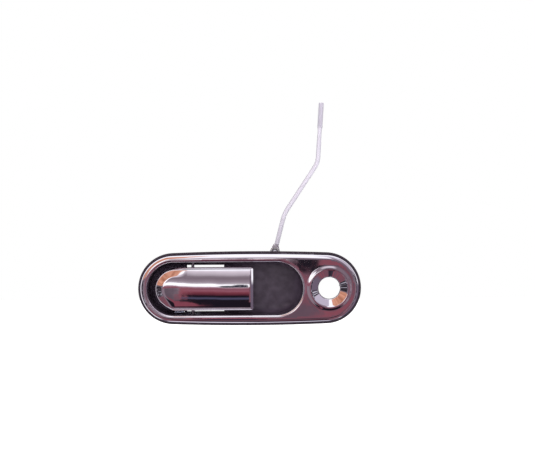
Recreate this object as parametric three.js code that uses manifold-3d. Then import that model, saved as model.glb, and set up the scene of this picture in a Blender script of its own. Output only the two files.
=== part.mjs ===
// Outside door handle of a vehicle: a chrome bezel around a finger bowl, a chrome pull paddle on a
// vertical hinge pin, a funnel for the key lock, and a bell crank that lifts the latch rod.
// Millimetres. X runs along the door to the right, +Y into the door, +Z up. The origin is the centre
// of the bezel, on the outer face of the door skin, which is the rear face of the gasket.

import * as THREE from 'three';
import { mergeVertices } from 'three/addons/utils/BufferGeometryUtils.js';
import Module from 'manifold-3d';

const wasm = await Module();
wasm.setup();

// ---------- driving dimensions ----------

const clearance = 0.3;               // between neighbouring pieces
const cutMargin = 1;                 // how far a cutting solid runs past the face it cuts
const overlap = 0.02;                // how far joined solids run into each other

const bezelHalfHeight = 34.2;
const bezelEndRadius = 32.8;
const bezelEndCentre = 73.5;         // X of the end arcs
const bezelCrest = -8.6;             // Y of the bezel's front face
const bezelRear = -2.6;
const bezelWall = 2.2;
const bezelEdgeRadius = 2.6;

const gasketThickness = 2.3;
const gasketOverhang = 1.7;          // gasket standing out past the bezel
const gasketWidth = 6.4;

const openingLeftCentre = -73.1;
const openingRightCentre = 26;
const openingRadius = 25.5;

const flangeFront = -5.6;
const flangeRear = -2.9;
const tubWall = 2.2;
const bowlFloor = 21;                // Y of the bowl's inner floor
const tubRear = bowlFloor + tubWall;

const slotLeft = -62.6;              // windows through the bowl's floor above and below the paddle
const slotRight = -25.7;
const slotInner = 14.4;              // |Z|
const upperSlotOuter = 22;
const lowerSlotOuter = 23.9;

const lockX = 77;
const funnelMouthRadius = 17.9;
const funnelHoleRadius = 10.5;
const funnelCrest = -9.4;
const funnelDepth = 4.2;

const hingeX = -56;
const hingeY = 12;
const hingePinRadius = 1.5;
const hingePinHalfLength = 30.5;

const paddleLeftCentre = -71.4;
const paddleRadius = 20.8;
const paddleRight = 3.8;
const paddleCornerRadius = 2.5;
const paddleWall = 2;
const paddleCrest = -13;
const paddleCrownRadius = 70;
const paddleSkirtRear = -4.5;
const paddleNoseLength = 10.5;
const paddleNoseDrop = 6.5;

const carrierFront = -5.2;
const carrierRear = -3;
const earOuter = 18.2;               // |Z| of the outer face of the hinge ears
const earInner = 15.2;
const earInset = paddleRadius - earOuter;

const crankX = -12;
const crankZ = 14;
const crankFront = 25.1;
const crankRear = 27.6;

const rodRadius = 2.25;
const rodThreadRadius = 2.75;
const rodPlane = 31.5;               // Y of the rod's centre line
const hookX = 24.9;
const hookZ = 34;

const studRadius = 2.95;
const studHoleRadius = 3.2;
const studBossFace = 26;
const studPlaces = { front: -84, rear: 95.4 };

// ---------- helpers ----------

const solidOf = (geometry) => {
  geometry.deleteAttribute('normal');
  geometry.deleteAttribute('uv');
  const merged = mergeVertices(geometry, 1e-4);
  const mesh = new wasm.Mesh({
    numProp: 3,
    vertProperties: new Float32Array(merged.attributes.position.array),
    triVerts: new Uint32Array(merged.index.array),
  });
  return new wasm.Manifold(mesh);
};

const geometryOf = (solid) => {
  const mesh = solid.getMesh();
  const geometry = new THREE.BufferGeometry();
  geometry.setAttribute('position', new THREE.BufferAttribute(new Float32Array(mesh.vertProperties), 3));
  geometry.setIndex(new THREE.BufferAttribute(new Uint32Array(mesh.triVerts), 1));
  geometry.computeVertexNormals();
  return geometry;
};

const union = (...solids) => solids.reduce((whole, next) => whole.add(next));

const cut = (solid, ...tools) => tools.reduce((rest, tool) => rest.subtract(tool), solid);

const arcPoints = (x, y, radius, from, to, steps) =>
  new THREE.EllipseCurve(x, y, radius, radius, from, to, to < from).getPoints(steps);

// A shape from points, without the doubled point where one arc runs into the next.
const shapeOf = (points) => {
  const distinct = points.filter((point, index) => {
    const previous = points[(index + points.length - 1) % points.length];
    return point.distanceTo(previous) > 1e-3;
  });
  return new THREE.Shape(distinct);
};

const polygon = (...corners) => shapeOf(corners.map(([x, y]) => new THREE.Vector2(x, y)));

const extrude = (shape, depth, bevel = 0) => new THREE.ExtrudeGeometry(shape, {
  depth: depth - bevel,
  bevelEnabled: bevel > 0,
  bevelThickness: bevel,
  bevelSize: bevel,
  bevelOffset: -bevel,
  bevelSegments: 5,
});

// A plate whose outline lies in X and Z, between two values of Y.
const plate = (shape, front, rear) =>
  solidOf(extrude(shape, rear - front).rotateX(Math.PI / 2).translate(0, rear, 0));

// The same with its front edge rounded; the rounding at its rear is pushed past the rear and cut off.
const frontRoundedPlate = (shape, front, rear, radius) => {
  const long = extrude(shape, rear - front + radius, radius);
  const solid = solidOf(long.rotateX(Math.PI / 2).translate(0, rear + radius, 0));
  return solid.trimByPlane([0, -1, 0], -rear);
};

const rearRoundedPlate = (shape, front, rear, radius) =>
  frontRoundedPlate(shape, -rear, -front, radius).mirror([0, 1, 0]);

const prismAlongZ = (shape, low, high) => solidOf(extrude(shape, high - low).translate(0, 0, low));

// The shape's first coordinate is Y and its second is Z.
const prismAlongX = (shape, low, high) =>
  solidOf(extrude(shape, high - low).rotateY(Math.PI / 2).rotateX(Math.PI / 2).translate(low, 0, 0));

const cylinderAlongY = (x, z, radius, front, rear, segments = 40) => solidOf(
  new THREE.CylinderGeometry(radius, radius, rear - front, segments).translate(x, (front + rear) / 2, z),
);

const cylinderAlongZ = (x, y, radius, low, high, segments = 32) => solidOf(
  new THREE.CylinderGeometry(radius, radius, high - low, segments)
    .rotateX(Math.PI / 2)
    .translate(x, y, (low + high) / 2),
);

const box = (x0, x1, y0, y1, z0, z1) => solidOf(
  new THREE.BoxGeometry(x1 - x0, y1 - y0, z1 - z0)
    .translate((x0 + x1) / 2, (y0 + y1) / 2, (z0 + z1) / 2),
);

// A ring of revolution about an axis along Y; the profile's points are [radius, y] and close on themselves.
const ringAlongY = (x, z, profile, segments = 56) => {
  const closed = [...profile, profile[0]].map(([radius, y]) => new THREE.Vector2(radius, y));
  if (THREE.ShapeUtils.isClockWise(closed)) {
    closed.reverse();
  }
  return solidOf(new THREE.LatheGeometry(closed, segments).translate(x, 0, z));
};

// Two circles joined by their outer tangents.
const taperedArm = (x1, y1, r1, x2, y2, r2) => {
  const heading = Math.atan2(y2 - y1, x2 - x1);
  const spread = Math.acos((r1 - r2) / Math.hypot(x2 - x1, y2 - y1));
  return shapeOf([
    ...arcPoints(x2, y2, r2, heading - spread, heading + spread, 12),
    ...arcPoints(x1, y1, r1, heading + spread, heading - spread + 2 * Math.PI, 16),
  ]);
};

const mirrored = (make) => [make(1), make(-1)];

// Low and high Z of a stretch from near to far, on the upper (1) or the lower (-1) side.
const spanOn = (side, near, far) => [Math.min(near * side, far * side), Math.max(near * side, far * side)];

// ---------- outlines ----------

// The bezel's outline: two end arcs joined by long, slightly bowed side arcs, moved inward by inset.
const bowedOutline = (inset) => {
  const sideRadius = (bezelEndCentre ** 2 + bezelHalfHeight ** 2 - bezelEndRadius ** 2)
    / (2 * (bezelHalfHeight - bezelEndRadius));
  const sideCentre = sideRadius - bezelHalfHeight;
  const meeting = Math.atan2(sideCentre, bezelEndCentre);
  const end = bezelEndRadius - inset;
  const side = sideRadius - inset;
  return shapeOf([
    ...arcPoints(bezelEndCentre, 0, end, -meeting, meeting, 36),
    ...arcPoints(0, -sideCentre, side, meeting, Math.PI - meeting, 10),
    ...arcPoints(-bezelEndCentre, 0, end, Math.PI - meeting, Math.PI + meeting, 36),
    ...arcPoints(0, sideCentre, side, Math.PI + meeting, 2 * Math.PI - meeting, 10),
  ]);
};

const openingOutline = (growth) => shapeOf([
  ...arcPoints(openingRightCentre, 0, openingRadius + growth, -Math.PI / 2, Math.PI / 2, 32),
  ...arcPoints(openingLeftCentre, 0, openingRadius + growth, Math.PI / 2, 1.5 * Math.PI, 32),
]);

const paddleOutline = (inset) => {
  const radius = paddleRadius - inset;
  const corner = Math.max(paddleCornerRadius - inset, 0.5);
  const right = paddleRight - inset;
  return shapeOf([
    ...arcPoints(right - corner, -radius + corner, corner, -Math.PI / 2, 0, 4),
    ...arcPoints(right - corner, radius - corner, corner, 0, Math.PI / 2, 4),
    ...arcPoints(paddleLeftCentre, 0, radius, Math.PI / 2, 1.5 * Math.PI, 32),
  ]);
};

// ---------- trim seen from outside ----------

const makeGasket = () => cut(
  plate(bowedOutline(-gasketOverhang), -gasketThickness, 0),
  plate(bowedOutline(gasketWidth - gasketOverhang), -gasketThickness - cutMargin, cutMargin),
);

const bezelScrewPlaces = [
  [-30, 29.3],
  [-30, -29.3],
  [55, 22],
  [55, -22],
];
const screwPadRadius = 2.6;
const screwShankRadius = 1.2;
const screwHeadRadius = 1.7;
const screwHeadHeight = 1.1;
const screwTip = -7.4;
const screwFacets = 20;              // small round pieces take fewer facets
const spigotWall = 1.9;              // short tube at the bottom of the funnel
const spigotLength = 2;
const funnelRimInner = 1.3;          // how far the funnel's raised rim runs out past its mouth
const funnelRimFlat = 2.2;
const funnelRimFoot = 3.4;
const funnelRimOuter = 4.4;

const makeBezel = () => {
  const lipRear = flangeFront - clearance;
  const hollowFront = bezelCrest + bezelWall;
  const hollow = cut(
    plate(bowedOutline(bezelWall), hollowFront, bezelRear + cutMargin),
    plate(openingOutline(bezelWall), hollowFront - cutMargin, lipRear),
    cylinderAlongY(lockX, 0, funnelMouthRadius + cutMargin, hollowFront - cutMargin, lipRear),
  );
  const shell = cut(
    frontRoundedPlate(bowedOutline(0), bezelCrest, bezelRear, bezelEdgeRadius),
    hollow,
    plate(openingOutline(0), bezelCrest - cutMargin, 0),
    cylinderAlongY(lockX, 0, funnelMouthRadius + clearance, bezelCrest - cutMargin, 0),
  );
  const holeFront = funnelCrest + funnelDepth;
  const holeRear = holeFront + spigotLength;
  const funnel = ringAlongY(lockX, 0, [
    [funnelMouthRadius, funnelCrest],
    [funnelHoleRadius, holeFront],
    [funnelHoleRadius, holeRear],
    [funnelHoleRadius + spigotWall, holeRear],
    [funnelHoleRadius + spigotWall, holeRear - spigotLength / 2],
    [funnelMouthRadius + funnelRimInner, hollowFront],
    [funnelMouthRadius + funnelRimFoot, hollowFront],
    [funnelMouthRadius + funnelRimOuter, bezelCrest - overlap],
    [funnelMouthRadius + funnelRimFlat, funnelCrest],
  ]);
  const pads = bezelScrewPlaces.map(
    ([x, z]) => cylinderAlongY(x, z, screwPadRadius, hollowFront - bezelWall / 4, lipRear),
  );
  const holes = bezelScrewPlaces.map(([x, z]) => cylinderAlongY(
    x, z, screwShankRadius + clearance, screwTip - clearance, 0, screwFacets,
  ));
  const padsInside = union(...pads).intersect(plate(bowedOutline(1), bezelCrest, 0));
  return cut(union(shell, funnel, padsInside), ...holes);
};

const makeBezelScrew = ([x, z]) => union(
  cylinderAlongY(x, z, screwShankRadius, screwTip, flangeRear - screwHeadHeight / 2, screwFacets),
  cylinderAlongY(x, z, screwHeadRadius, flangeRear - screwHeadHeight, flangeRear, screwFacets),
);

// ---------- housing ----------

const lockSleeveRadius = 13;
const lockSleeveWall = 2;
const lockSleeveRear = 18;
const lockSleeveShoulder = 3.4;      // Y where the sleeve's cone meets its straight part
const retainerFront = 11.8;
const retainerRear = 12.8;
const retainerGrip = 12.3;           // half the width between the retainer's legs
const retainerOuter = 14.4;
const retainerLow = -10.6;           // Z of the ends of the legs
const retainerCentre = 1;            // Z of the retainer's arc
const studBossRadius = 5;
const frontStudStart = tubRear - 0.5;
const rearStudStart = 4.3;
const crankBossRadius = 6;
const crankBossHoleRadius = 2.8;
const slotFront = 12;                // Y from which the windows in the bowl's floor are cut
const bumperPlace = { left: -74.1, right: -65.2, low: -24.4, high: -18.6, front: 9, rear: 25 };
const bumperNose = { right: -60.9, top: -15.2, front: 16.5, rear: 20.5 };

// The space inside the bowl: filleted round its sides, and swept up in a large arc at its right end.
const makeBowlCut = () => {
  const sideFillet = 8;
  const endFillet = 18;
  const right = openingRightCentre + openingRadius;
  const left = -right * 2;
  const front = flangeFront * 2;
  const fingerEnd = prismAlongZ(shapeOf([
    new THREE.Vector2(right + cutMargin, front),
    new THREE.Vector2(right + cutMargin, bowlFloor - endFillet),
    ...arcPoints(right - endFillet, bowlFloor - endFillet, endFillet, 0, Math.PI / 2, 16),
    new THREE.Vector2(left, bowlFloor),
    new THREE.Vector2(left, front),
  ]), -bezelHalfHeight, bezelHalfHeight);
  return rearRoundedPlate(openingOutline(0), flangeFront - cutMargin, bowlFloor, sideFillet)
    .intersect(fingerEnd);
};

// The sleeve behind the funnel, still solid.
const makeLockSleeve = () => ringAlongY(lockX, 0, [
  [0, flangeFront + overlap],
  [funnelMouthRadius + funnelRimFoot, flangeFront + overlap],
  [funnelMouthRadius + funnelRimFoot, flangeRear - overlap],
  [lockSleeveRadius + lockSleeveWall, lockSleeveShoulder],
  [lockSleeveRadius + lockSleeveWall, lockSleeveRear],
  [0, lockSleeveRear],
]);

// The bore of the sleeve, with a cone at its front that clears the bezel's funnel.
const makeLockBore = () => {
  const mouth = funnelMouthRadius + 2;
  const mouthY = flangeFront - 1;
  return ringAlongY(lockX, 0, [
    [0, mouthY],
    [mouth, mouthY],
    [lockSleeveRadius, mouthY + mouth - lockSleeveRadius],
    [lockSleeveRadius, lockSleeveRear + cutMargin],
    [0, lockSleeveRear + cutMargin],
  ]);
};

const slotWindow = (side, outer) => box(
  slotLeft, slotRight, slotFront, tubRear + cutMargin, ...spanOn(side, slotInner, outer),
);

const makeHousing = () => {
  const tubFillet = 10;
  const flange = plate(bowedOutline(bezelWall + clearance), flangeFront, flangeRear);
  const tub = rearRoundedPlate(openingOutline(tubWall), flangeFront, tubRear, tubFillet);
  const bosses = union(
    cylinderAlongY(studPlaces.front, 0, studBossRadius, bowlFloor + tubWall / 2, studBossFace),
    cylinderAlongY(studPlaces.rear, 0, studBossRadius, flangeRear - cutMargin, studBossFace),
    cylinderAlongY(crankX, crankZ, crankBossRadius, bowlFloor + tubWall / 2, crankFront - 0.4),
  );
  const studHoles = [
    cylinderAlongY(
      studPlaces.front, 0, studHoleRadius, frontStudStart - clearance, studBossFace + cutMargin,
    ),
    cylinderAlongY(
      studPlaces.rear, 0, studHoleRadius, rearStudStart - clearance, studBossFace + cutMargin,
    ),
  ];
  const screwHoles = bezelScrewPlaces.flatMap(([x, z]) => [
    cylinderAlongY(x, z, screwShankRadius + clearance, flangeFront - cutMargin, 0, screwFacets),
    cylinderAlongY(
      x, z, screwHeadRadius + clearance, flangeRear - screwHeadHeight - clearance, 0, screwFacets,
    ),
  ]);
  const pinHole = cylinderAlongZ(
    hingeX, hingeY, hingePinRadius + clearance, -hingePinHalfLength, hingePinHalfLength,
  );
  const bumperHole = box(
    bumperPlace.left - clearance, bumperPlace.right + clearance, slotFront, tubRear + cutMargin,
    bumperPlace.low - clearance, bumperPlace.high,
  );
  const retainerSlot = box(
    lockX - retainerOuter - clearance, lockX + retainerOuter + clearance,
    retainerFront - clearance, retainerRear + clearance,
    retainerLow - clearance, retainerOuter + retainerCentre + cutMargin,
  );
  return cut(
    union(flange, tub, makeLockSleeve(), bosses),
    makeBowlCut(),
    makeLockBore(),
    slotWindow(1, upperSlotOuter),
    slotWindow(-1, lowerSlotOuter),
    pinHole,
    bumperHole,
    retainerSlot,
    cylinderAlongY(crankX, crankZ, crankBossHoleRadius, slotFront, crankFront + cutMargin, screwFacets),
    ...studHoles,
    ...screwHoles,
  );
};

// A block in the bowl's floor, with a nose that the drive arm rests on when the paddle is closed.
const makeClosedStopBumper = () => union(
  box(
    bumperPlace.left, bumperPlace.right, bumperPlace.front, bumperPlace.rear,
    bumperPlace.low, bumperPlace.high,
  ),
  box(
    bumperPlace.left, bumperNose.right, bumperNose.front, bumperNose.rear,
    bumperPlace.high - cutMargin, bumperNose.top,
  ),
);

const makeLockRetainer = () => {
  const front = retainerFront - cutMargin;
  const rear = retainerRear + cutMargin;
  return cut(
    plate(shapeOf([
      new THREE.Vector2(lockX - retainerOuter, retainerLow),
      new THREE.Vector2(lockX + retainerOuter, retainerLow),
      ...arcPoints(lockX, retainerCentre, retainerOuter, 0, Math.PI, 20),
    ]), retainerFront, retainerRear),
    box(
      lockX - retainerGrip, lockX + retainerGrip, front, rear, retainerLow - cutMargin, retainerCentre,
    ),
    cylinderAlongY(lockX, retainerCentre, retainerGrip, front, rear),
  );
};

// ---------- paddle ----------

// The crowned block that the paddle's outer or inner face belongs to, moved inward by inset.
const crownedBlock = (inset) => {
  const radius = paddleCrownRadius - inset;
  const centre = paddleCrest + paddleCrownRadius;
  const half = paddleRadius + cutMargin;
  const halfAngle = Math.asin(half / radius);
  const blockRear = 5;
  const blockRight = 20;
  const crown = prismAlongX(shapeOf([
    ...arcPoints(centre, 0, radius, Math.PI - halfAngle, Math.PI + halfAngle, 24),
    new THREE.Vector2(blockRear, -half),
    new THREE.Vector2(blockRear, half),
  ]), -bezelEndCentre - bezelEndRadius, blockRight);
  const noseStart = -paddleRadius + paddleLeftCentre + paddleNoseLength;
  const nose = new THREE.EllipseCurve(
    noseStart, paddleCrest + paddleNoseDrop, paddleNoseLength - inset, paddleNoseDrop - inset,
    Math.PI, 1.5 * Math.PI,
  );
  const side = prismAlongZ(shapeOf([
    new THREE.Vector2(noseStart - paddleNoseLength + inset, blockRear),
    ...nose.getPoints(12),
    new THREE.Vector2(blockRight, paddleCrest + inset),
    new THREE.Vector2(blockRight, blockRear),
  ]), -bezelHalfHeight, bezelHalfHeight);
  return crown.intersect(side);
};

const coverScrewPlaces = [-74, -12];
const coverScrewTip = -10;
const coverScrewHeadRadius = 2.6;
const coverScrewHeadHeight = 1.6;
const coverPostRadius = 3.2;

const makePaddleCover = () => {
  const outside = plate(paddleOutline(0), paddleCrest - cutMargin, paddleSkirtRear)
    .intersect(crownedBlock(0));
  const inside = plate(paddleOutline(paddleWall), paddleCrest, paddleSkirtRear + cutMargin)
    .intersect(crownedBlock(paddleWall));
  const posts = coverScrewPlaces.map((x) => cylinderAlongY(
    x, 0, coverPostRadius, paddleCrest + paddleWall / 2, carrierFront - clearance,
  ));
  const holes = coverScrewPlaces.map((x) => cylinderAlongY(
    x, 0, screwShankRadius + clearance, coverScrewTip - clearance, 0, screwFacets,
  ));
  return cut(union(cut(outside, inside), ...posts), ...holes);
};

const makeCoverScrew = (x) => {
  const seat = carrierRear + clearance;
  return union(
    cylinderAlongY(x, 0, screwShankRadius, coverScrewTip, seat + clearance, screwFacets),
    cylinderAlongY(x, 0, coverScrewHeadRadius, seat, seat + coverScrewHeadHeight, screwFacets),
  );
};

const hingeBossRadius = 6;
const bushingHoleRadius = 3.3;
const driveArmTip = 36;

// A long low rib behind the carrier's plate that rises to the hinge boss.
const webOutline = () => {
  const right = paddleRight - earInset;
  const left = -76;
  const bossReach = hingeBossRadius - 0.4;
  return polygon(
    [left, carrierRear - 1],
    [right, carrierRear - 1],
    [right, carrierRear + 2],
    [right / 2 + hingeX / 2, carrierRear + 4.5],
    [hingeX + bossReach, hingeY + 2],
    [hingeX - bossReach, hingeY + 2],
    [left + 4, carrierRear + 2],
    [left, carrierRear + 1],
  );
};

const hingeEar = (side) => union(
  prismAlongZ(webOutline(), ...spanOn(side, earInner, earOuter)),
  cylinderAlongZ(hingeX, hingeY, hingeBossRadius, ...spanOn(side, earInner, earOuter)),
);

// The arm on the lower ear that pushes the bell crank.
const driveArm = () => prismAlongZ(polygon(
  [hingeX - 4.5, hingeY],
  [hingeX + 5, hingeY],
  [hingeX + 5, driveArmTip - 1],
  [hingeX + 3.5, driveArmTip],
  [hingeX - 3, driveArmTip],
  [hingeX - 4.5, driveArmTip - 2],
), ...spanOn(-1, earInner, earOuter));

const makePaddleCarrier = () => cut(
  union(
    plate(paddleOutline(earInset), carrierFront, carrierRear),
    ...mirrored(hingeEar),
    driveArm(),
  ),
  cylinderAlongZ(hingeX, hingeY, bushingHoleRadius, -paddleRadius, paddleRadius),
  ...coverScrewPlaces.map((x) => cylinderAlongY(
    x, 0, screwShankRadius + clearance, carrierFront - cutMargin, carrierRear + cutMargin, screwFacets,
  )),
);

// ---------- hinge hardware ----------

const grooveInner = 27.9;
const grooveOuter = 29.1;
const grooveRadius = 0.9;
const hingeClipRadius = 4;
const hingeClipInner = 28.1;
const hingeClipOuter = 28.9;
const bushingFlangeRadius = 4.6;
const bushingOuter = earOuter + 1.2;

const makeHingePin = () => {
  const groove = (side) => cut(
    cylinderAlongZ(
      hingeX, hingeY, hingePinRadius + cutMargin, ...spanOn(side, grooveInner, grooveOuter),
    ),
    cylinderAlongZ(
      hingeX, hingeY, grooveRadius, ...spanOn(side, grooveInner - 1, grooveOuter + 1), screwFacets,
    ),
  );
  return cut(
    cylinderAlongZ(hingeX, hingeY, hingePinRadius, -hingePinHalfLength, hingePinHalfLength),
    ...mirrored(groove),
  );
};

const makeHingeClip = (side) => {
  const mouthAngle = 0.6;
  const shape = shapeOf([
    ...arcPoints(hingeX, hingeY, hingeClipRadius, mouthAngle, 2 * Math.PI - mouthAngle, 28),
    ...arcPoints(hingeX, hingeY, grooveRadius + clearance, 2 * Math.PI - mouthAngle, mouthAngle, 20),
  ]);
  return prismAlongZ(shape, ...spanOn(side, hingeClipInner, hingeClipOuter));
};

const makeHingeBushing = (side) => {
  const span = (near, far, radius) => cylinderAlongZ(hingeX, hingeY, radius, ...spanOn(side, near, far));
  return cut(
    union(
      span(earInner, bushingOuter, bushingHoleRadius - clearance),
      span(earOuter + clearance, bushingOuter, bushingFlangeRadius),
    ),
    span(earInner - cutMargin, bushingOuter + cutMargin, hingePinRadius + clearance),
  );
};

const springWireRadius = 0.6;
const springCoilRadius = 3.5;
const springTurns = 8.3;
const springHalfLength = 7;
const carrierLegX = -70;
const floorLegX = -72;

// The wire runs from the carrier's rear face, round the pin, to the bowl's floor.
const makeReturnSpring = () => {
  const stepsPerTurn = 16;
  const stepsPerLeg = 6;
  const startAngle = -Math.PI / 4;
  const totalAngle = springTurns * 2 * Math.PI;
  const steps = Math.round(stepsPerTurn * springTurns);
  const coil = Array.from({ length: steps + 1 }, (_, index) => {
    const share = index / steps;
    const angle = startAngle + share * totalAngle;
    return new THREE.Vector3(
      hingeX + springCoilRadius * Math.cos(angle),
      hingeY + springCoilRadius * Math.sin(angle),
      springHalfLength * (2 * share - 1),
    );
  });
  const rest = springWireRadius + clearance;
  const legZ = springHalfLength + springWireRadius;
  const carrierLeg = new THREE.Vector3(carrierLegX, carrierRear + rest, -legZ);
  const floorLeg = new THREE.Vector3(floorLegX, bowlFloor - rest, legZ);
  const path = new THREE.CatmullRomCurve3([carrierLeg, ...coil, floorLeg], false, 'centripetal');
  const section = shapeOf(arcPoints(0, 0, springWireRadius, 0, 2 * Math.PI, 6));
  return solidOf(new THREE.ExtrudeGeometry(section, {
    steps: steps + 2 * stepsPerLeg,
    extrudePath: path,
    bevelEnabled: false,
  }));
};

// ---------- bell crank and latch rod ----------

const ringFacets = 32;
const crankHubRadius = 7;
const crankHoleRadius = 4.5;
const rodHoleRadius = 3.6;
const contactEdgeTilt = 6 * Math.PI / 180;   // leans the pad's driven edge, so that the arm meets it evenly
const contactLow = -20.5;
const contactHigh = -2.4;
const contactLeft = -50.67;                  // X of the driven edge's lower end
const crankTop = 42.3;
const washerRadius = 6.5;
const washerFront = crankRear + 0.8;
const washerRear = crankRear + 1.6;
const rivetRadius = 2.5;
const rivetFrontHead = { radius: 5, front: 19.4 };
const rivetRearHead = { radius: 4.5, front: washerRear + clearance, rear: crankRear + 3.4 };

// Two arms from the hub: one to the pad that the drive arm pushes, one to the finger that holds the rod.
const makeBellCrank = () => {
  const span = (shape) => plate(shape, crankFront, crankRear);
  const contactPad = polygon(
    [contactLeft, contactLow],
    [-43, contactLow],
    [-34, -9],
    [-38, contactHigh],
    [contactLeft + (contactHigh - contactLow) * Math.tan(contactEdgeTilt), contactHigh],
  );
  const rodFinger = polygon(
    [hookX - 5, hookZ - 6],
    [hookX + 5, hookZ - 6],
    [hookX + 5, hookZ + 1.4],
    [hookX + 3.3, crankTop],
    [hookX - 1.2, crankTop],
    [hookX - 4.9, hookZ + 1.4],
  );
  return cut(
    union(
      span(taperedArm(crankX, crankZ, crankHubRadius, -46, -17, 3.4)),
      span(taperedArm(crankX, crankZ, crankHubRadius, hookX, hookZ - 4, 4.9)),
      span(contactPad),
      span(rodFinger),
    ),
    cylinderAlongY(crankX, crankZ, crankHoleRadius, crankFront - cutMargin, crankRear + cutMargin),
    cylinderAlongY(hookX, hookZ, rodHoleRadius, crankFront - cutMargin, crankRear + cutMargin),
  );
};

const makeCrankBushing = () => ringAlongY(crankX, crankZ, [
  [rivetRadius + clearance, crankFront - 0.1],
  [rivetRadius + clearance, crankRear + 0.5],
  [crankHoleRadius - clearance, crankRear + 0.5],
  [crankHoleRadius - clearance, crankFront - 0.1],
], ringFacets);

const makeCrankWasher = () => ringAlongY(crankX, crankZ, [
  [rivetRadius + clearance, washerFront],
  [rivetRadius + clearance, washerRear],
  [washerRadius, washerRear],
  [washerRadius, washerFront],
], ringFacets);

const makeCrankRivet = () => union(
  cylinderAlongY(
    crankX, crankZ, rivetFrontHead.radius, rivetFrontHead.front, bowlFloor - clearance, ringFacets,
  ),
  cylinderAlongY(
    crankX, crankZ, rivetRadius, rivetFrontHead.front + 0.6, rivetRearHead.rear - 0.5, ringFacets,
  ),
  cylinderAlongY(
    crankX, crankZ, rivetRearHead.radius, rivetRearHead.front, rivetRearHead.rear, ringFacets,
  ),
);

// Straight wire through the given corners, with each corner rounded.
const bentWire = (corners, bendLength) => {
  const path = new THREE.CurvePath();
  let start = corners[0];
  for (let index = 1; index < corners.length - 1; index += 1) {
    const corner = corners[index];
    const reach = Math.min(bendLength[index - 1], corner.distanceTo(start) * 0.9);
    const into = corner.clone().lerp(start, reach / corner.distanceTo(start));
    const next = corners[index + 1];
    const out = corner.clone().lerp(next, reach / corner.distanceTo(next));
    path.add(new THREE.LineCurve3(start, into));
    path.add(new THREE.QuadraticBezierCurve3(into, corner, out));
    start = out;
  }
  path.add(new THREE.LineCurve3(start, corners[corners.length - 1]));
  return path;
};

const rodCorners = [
  new THREE.Vector3(hookX, 21.5, hookZ),
  new THREE.Vector3(hookX, rodPlane, hookZ),
  new THREE.Vector3(34.6, rodPlane, 72.2),
  new THREE.Vector3(68.7, rodPlane, 123.8),
  new THREE.Vector3(72.7, rodPlane, 184),
];
const rodBends = [3.4, 7, 6];
const threadLength = 26;

const makeLinkRod = () => {
  const path = bentWire(rodCorners, rodBends);
  const section = shapeOf(arcPoints(0, 0, rodRadius, 0, 2 * Math.PI, 14));
  const wire = solidOf(new THREE.ExtrudeGeometry(section, {
    steps: 70,
    extrudePath: path,
    bevelEnabled: false,
  }));
  const top = rodCorners[rodCorners.length - 1];
  const along = top.clone().sub(rodCorners[rodCorners.length - 2]).normalize();
  const turn = new THREE.Quaternion().setFromUnitVectors(new THREE.Vector3(0, 1, 0), along);
  const middle = top.clone().addScaledVector(along, -threadLength / 2 + overlap);
  const thread = new THREE.CylinderGeometry(rodThreadRadius, rodThreadRadius, threadLength, 24)
    .applyQuaternion(turn)
    .translate(middle.x, middle.y, middle.z);
  return union(wire, solidOf(thread));
};

const rodBushingFlange = { radius: 4.2, front: crankFront - 1.3, rear: crankFront - clearance };
const rodClip = { bore: rodRadius + 0.15, radius: 4, front: crankFront - 2.4, rear: crankFront - 1.6 };

const makeRodBushing = () => ringAlongY(hookX, hookZ, [
  [rodRadius + clearance, rodBushingFlange.front],
  [rodRadius + clearance, crankRear + 0.9],
  [rodHoleRadius - clearance, crankRear + 0.9],
  [rodHoleRadius - clearance, rodBushingFlange.rear],
  [rodBushingFlange.radius, rodBushingFlange.rear],
  [rodBushingFlange.radius, rodBushingFlange.front],
], ringFacets);

const makeRodClip = () => ringAlongY(hookX, hookZ, [
  [rodClip.bore, rodClip.front],
  [rodClip.bore, rodClip.rear],
  [rodClip.radius, rodClip.rear],
  [rodClip.radius, rodClip.front],
], ringFacets);

// ---------- studs and nuts ----------

const nutFront = 30;
const nutHeight = 5;
const nutAcrossFlats = 10;
const studEnd = 44;

const makeStud = (x, start) => cylinderAlongY(x, 0, studRadius, start, studEnd, ringFacets);

const makeNut = (x) => {
  const cornerRadius = nutAcrossFlats / Math.sqrt(3);
  const corners = Array.from({ length: 6 }, (_, index) => {
    const angle = index * Math.PI / 3;
    return [x + cornerRadius * Math.cos(angle), cornerRadius * Math.sin(angle)];
  });
  return cut(
    plate(polygon(...corners), nutFront, nutFront + nutHeight),
    cylinderAlongY(x, 0, studHoleRadius, nutFront - cutMargin, nutFront + nutHeight + cutMargin),
  );
};

// ---------- materials ----------

const finish = (color, roughness, metalness) =>
  new THREE.MeshStandardMaterial({ color, roughness, metalness, flatShading: true });

const chrome = finish(0xd8d6de, 0.08, 1);
const rubber = finish(0x2a2529, 0.75, 0);
const blackPlastic = finish(0x241f24, 0.6, 0);
const castZinc = finish(0x9b9ba2, 0.45, 1);
const platedSteel = finish(0xb6b4c0, 0.32, 1);
const springSteel = finish(0x8f9096, 0.3, 1);
const greyRubber = finish(0x8c8ca0, 0.7, 0);
const naturalPlastic = finish(0xd9d6cc, 0.5, 0);

// ---------- assembly ----------

const handle = new THREE.Group();

const addTo = (group, name, solid, material) => {
  const mesh = new THREE.Mesh(geometryOf(solid), material);
  mesh.name = name;
  group.add(mesh);
};

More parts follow.
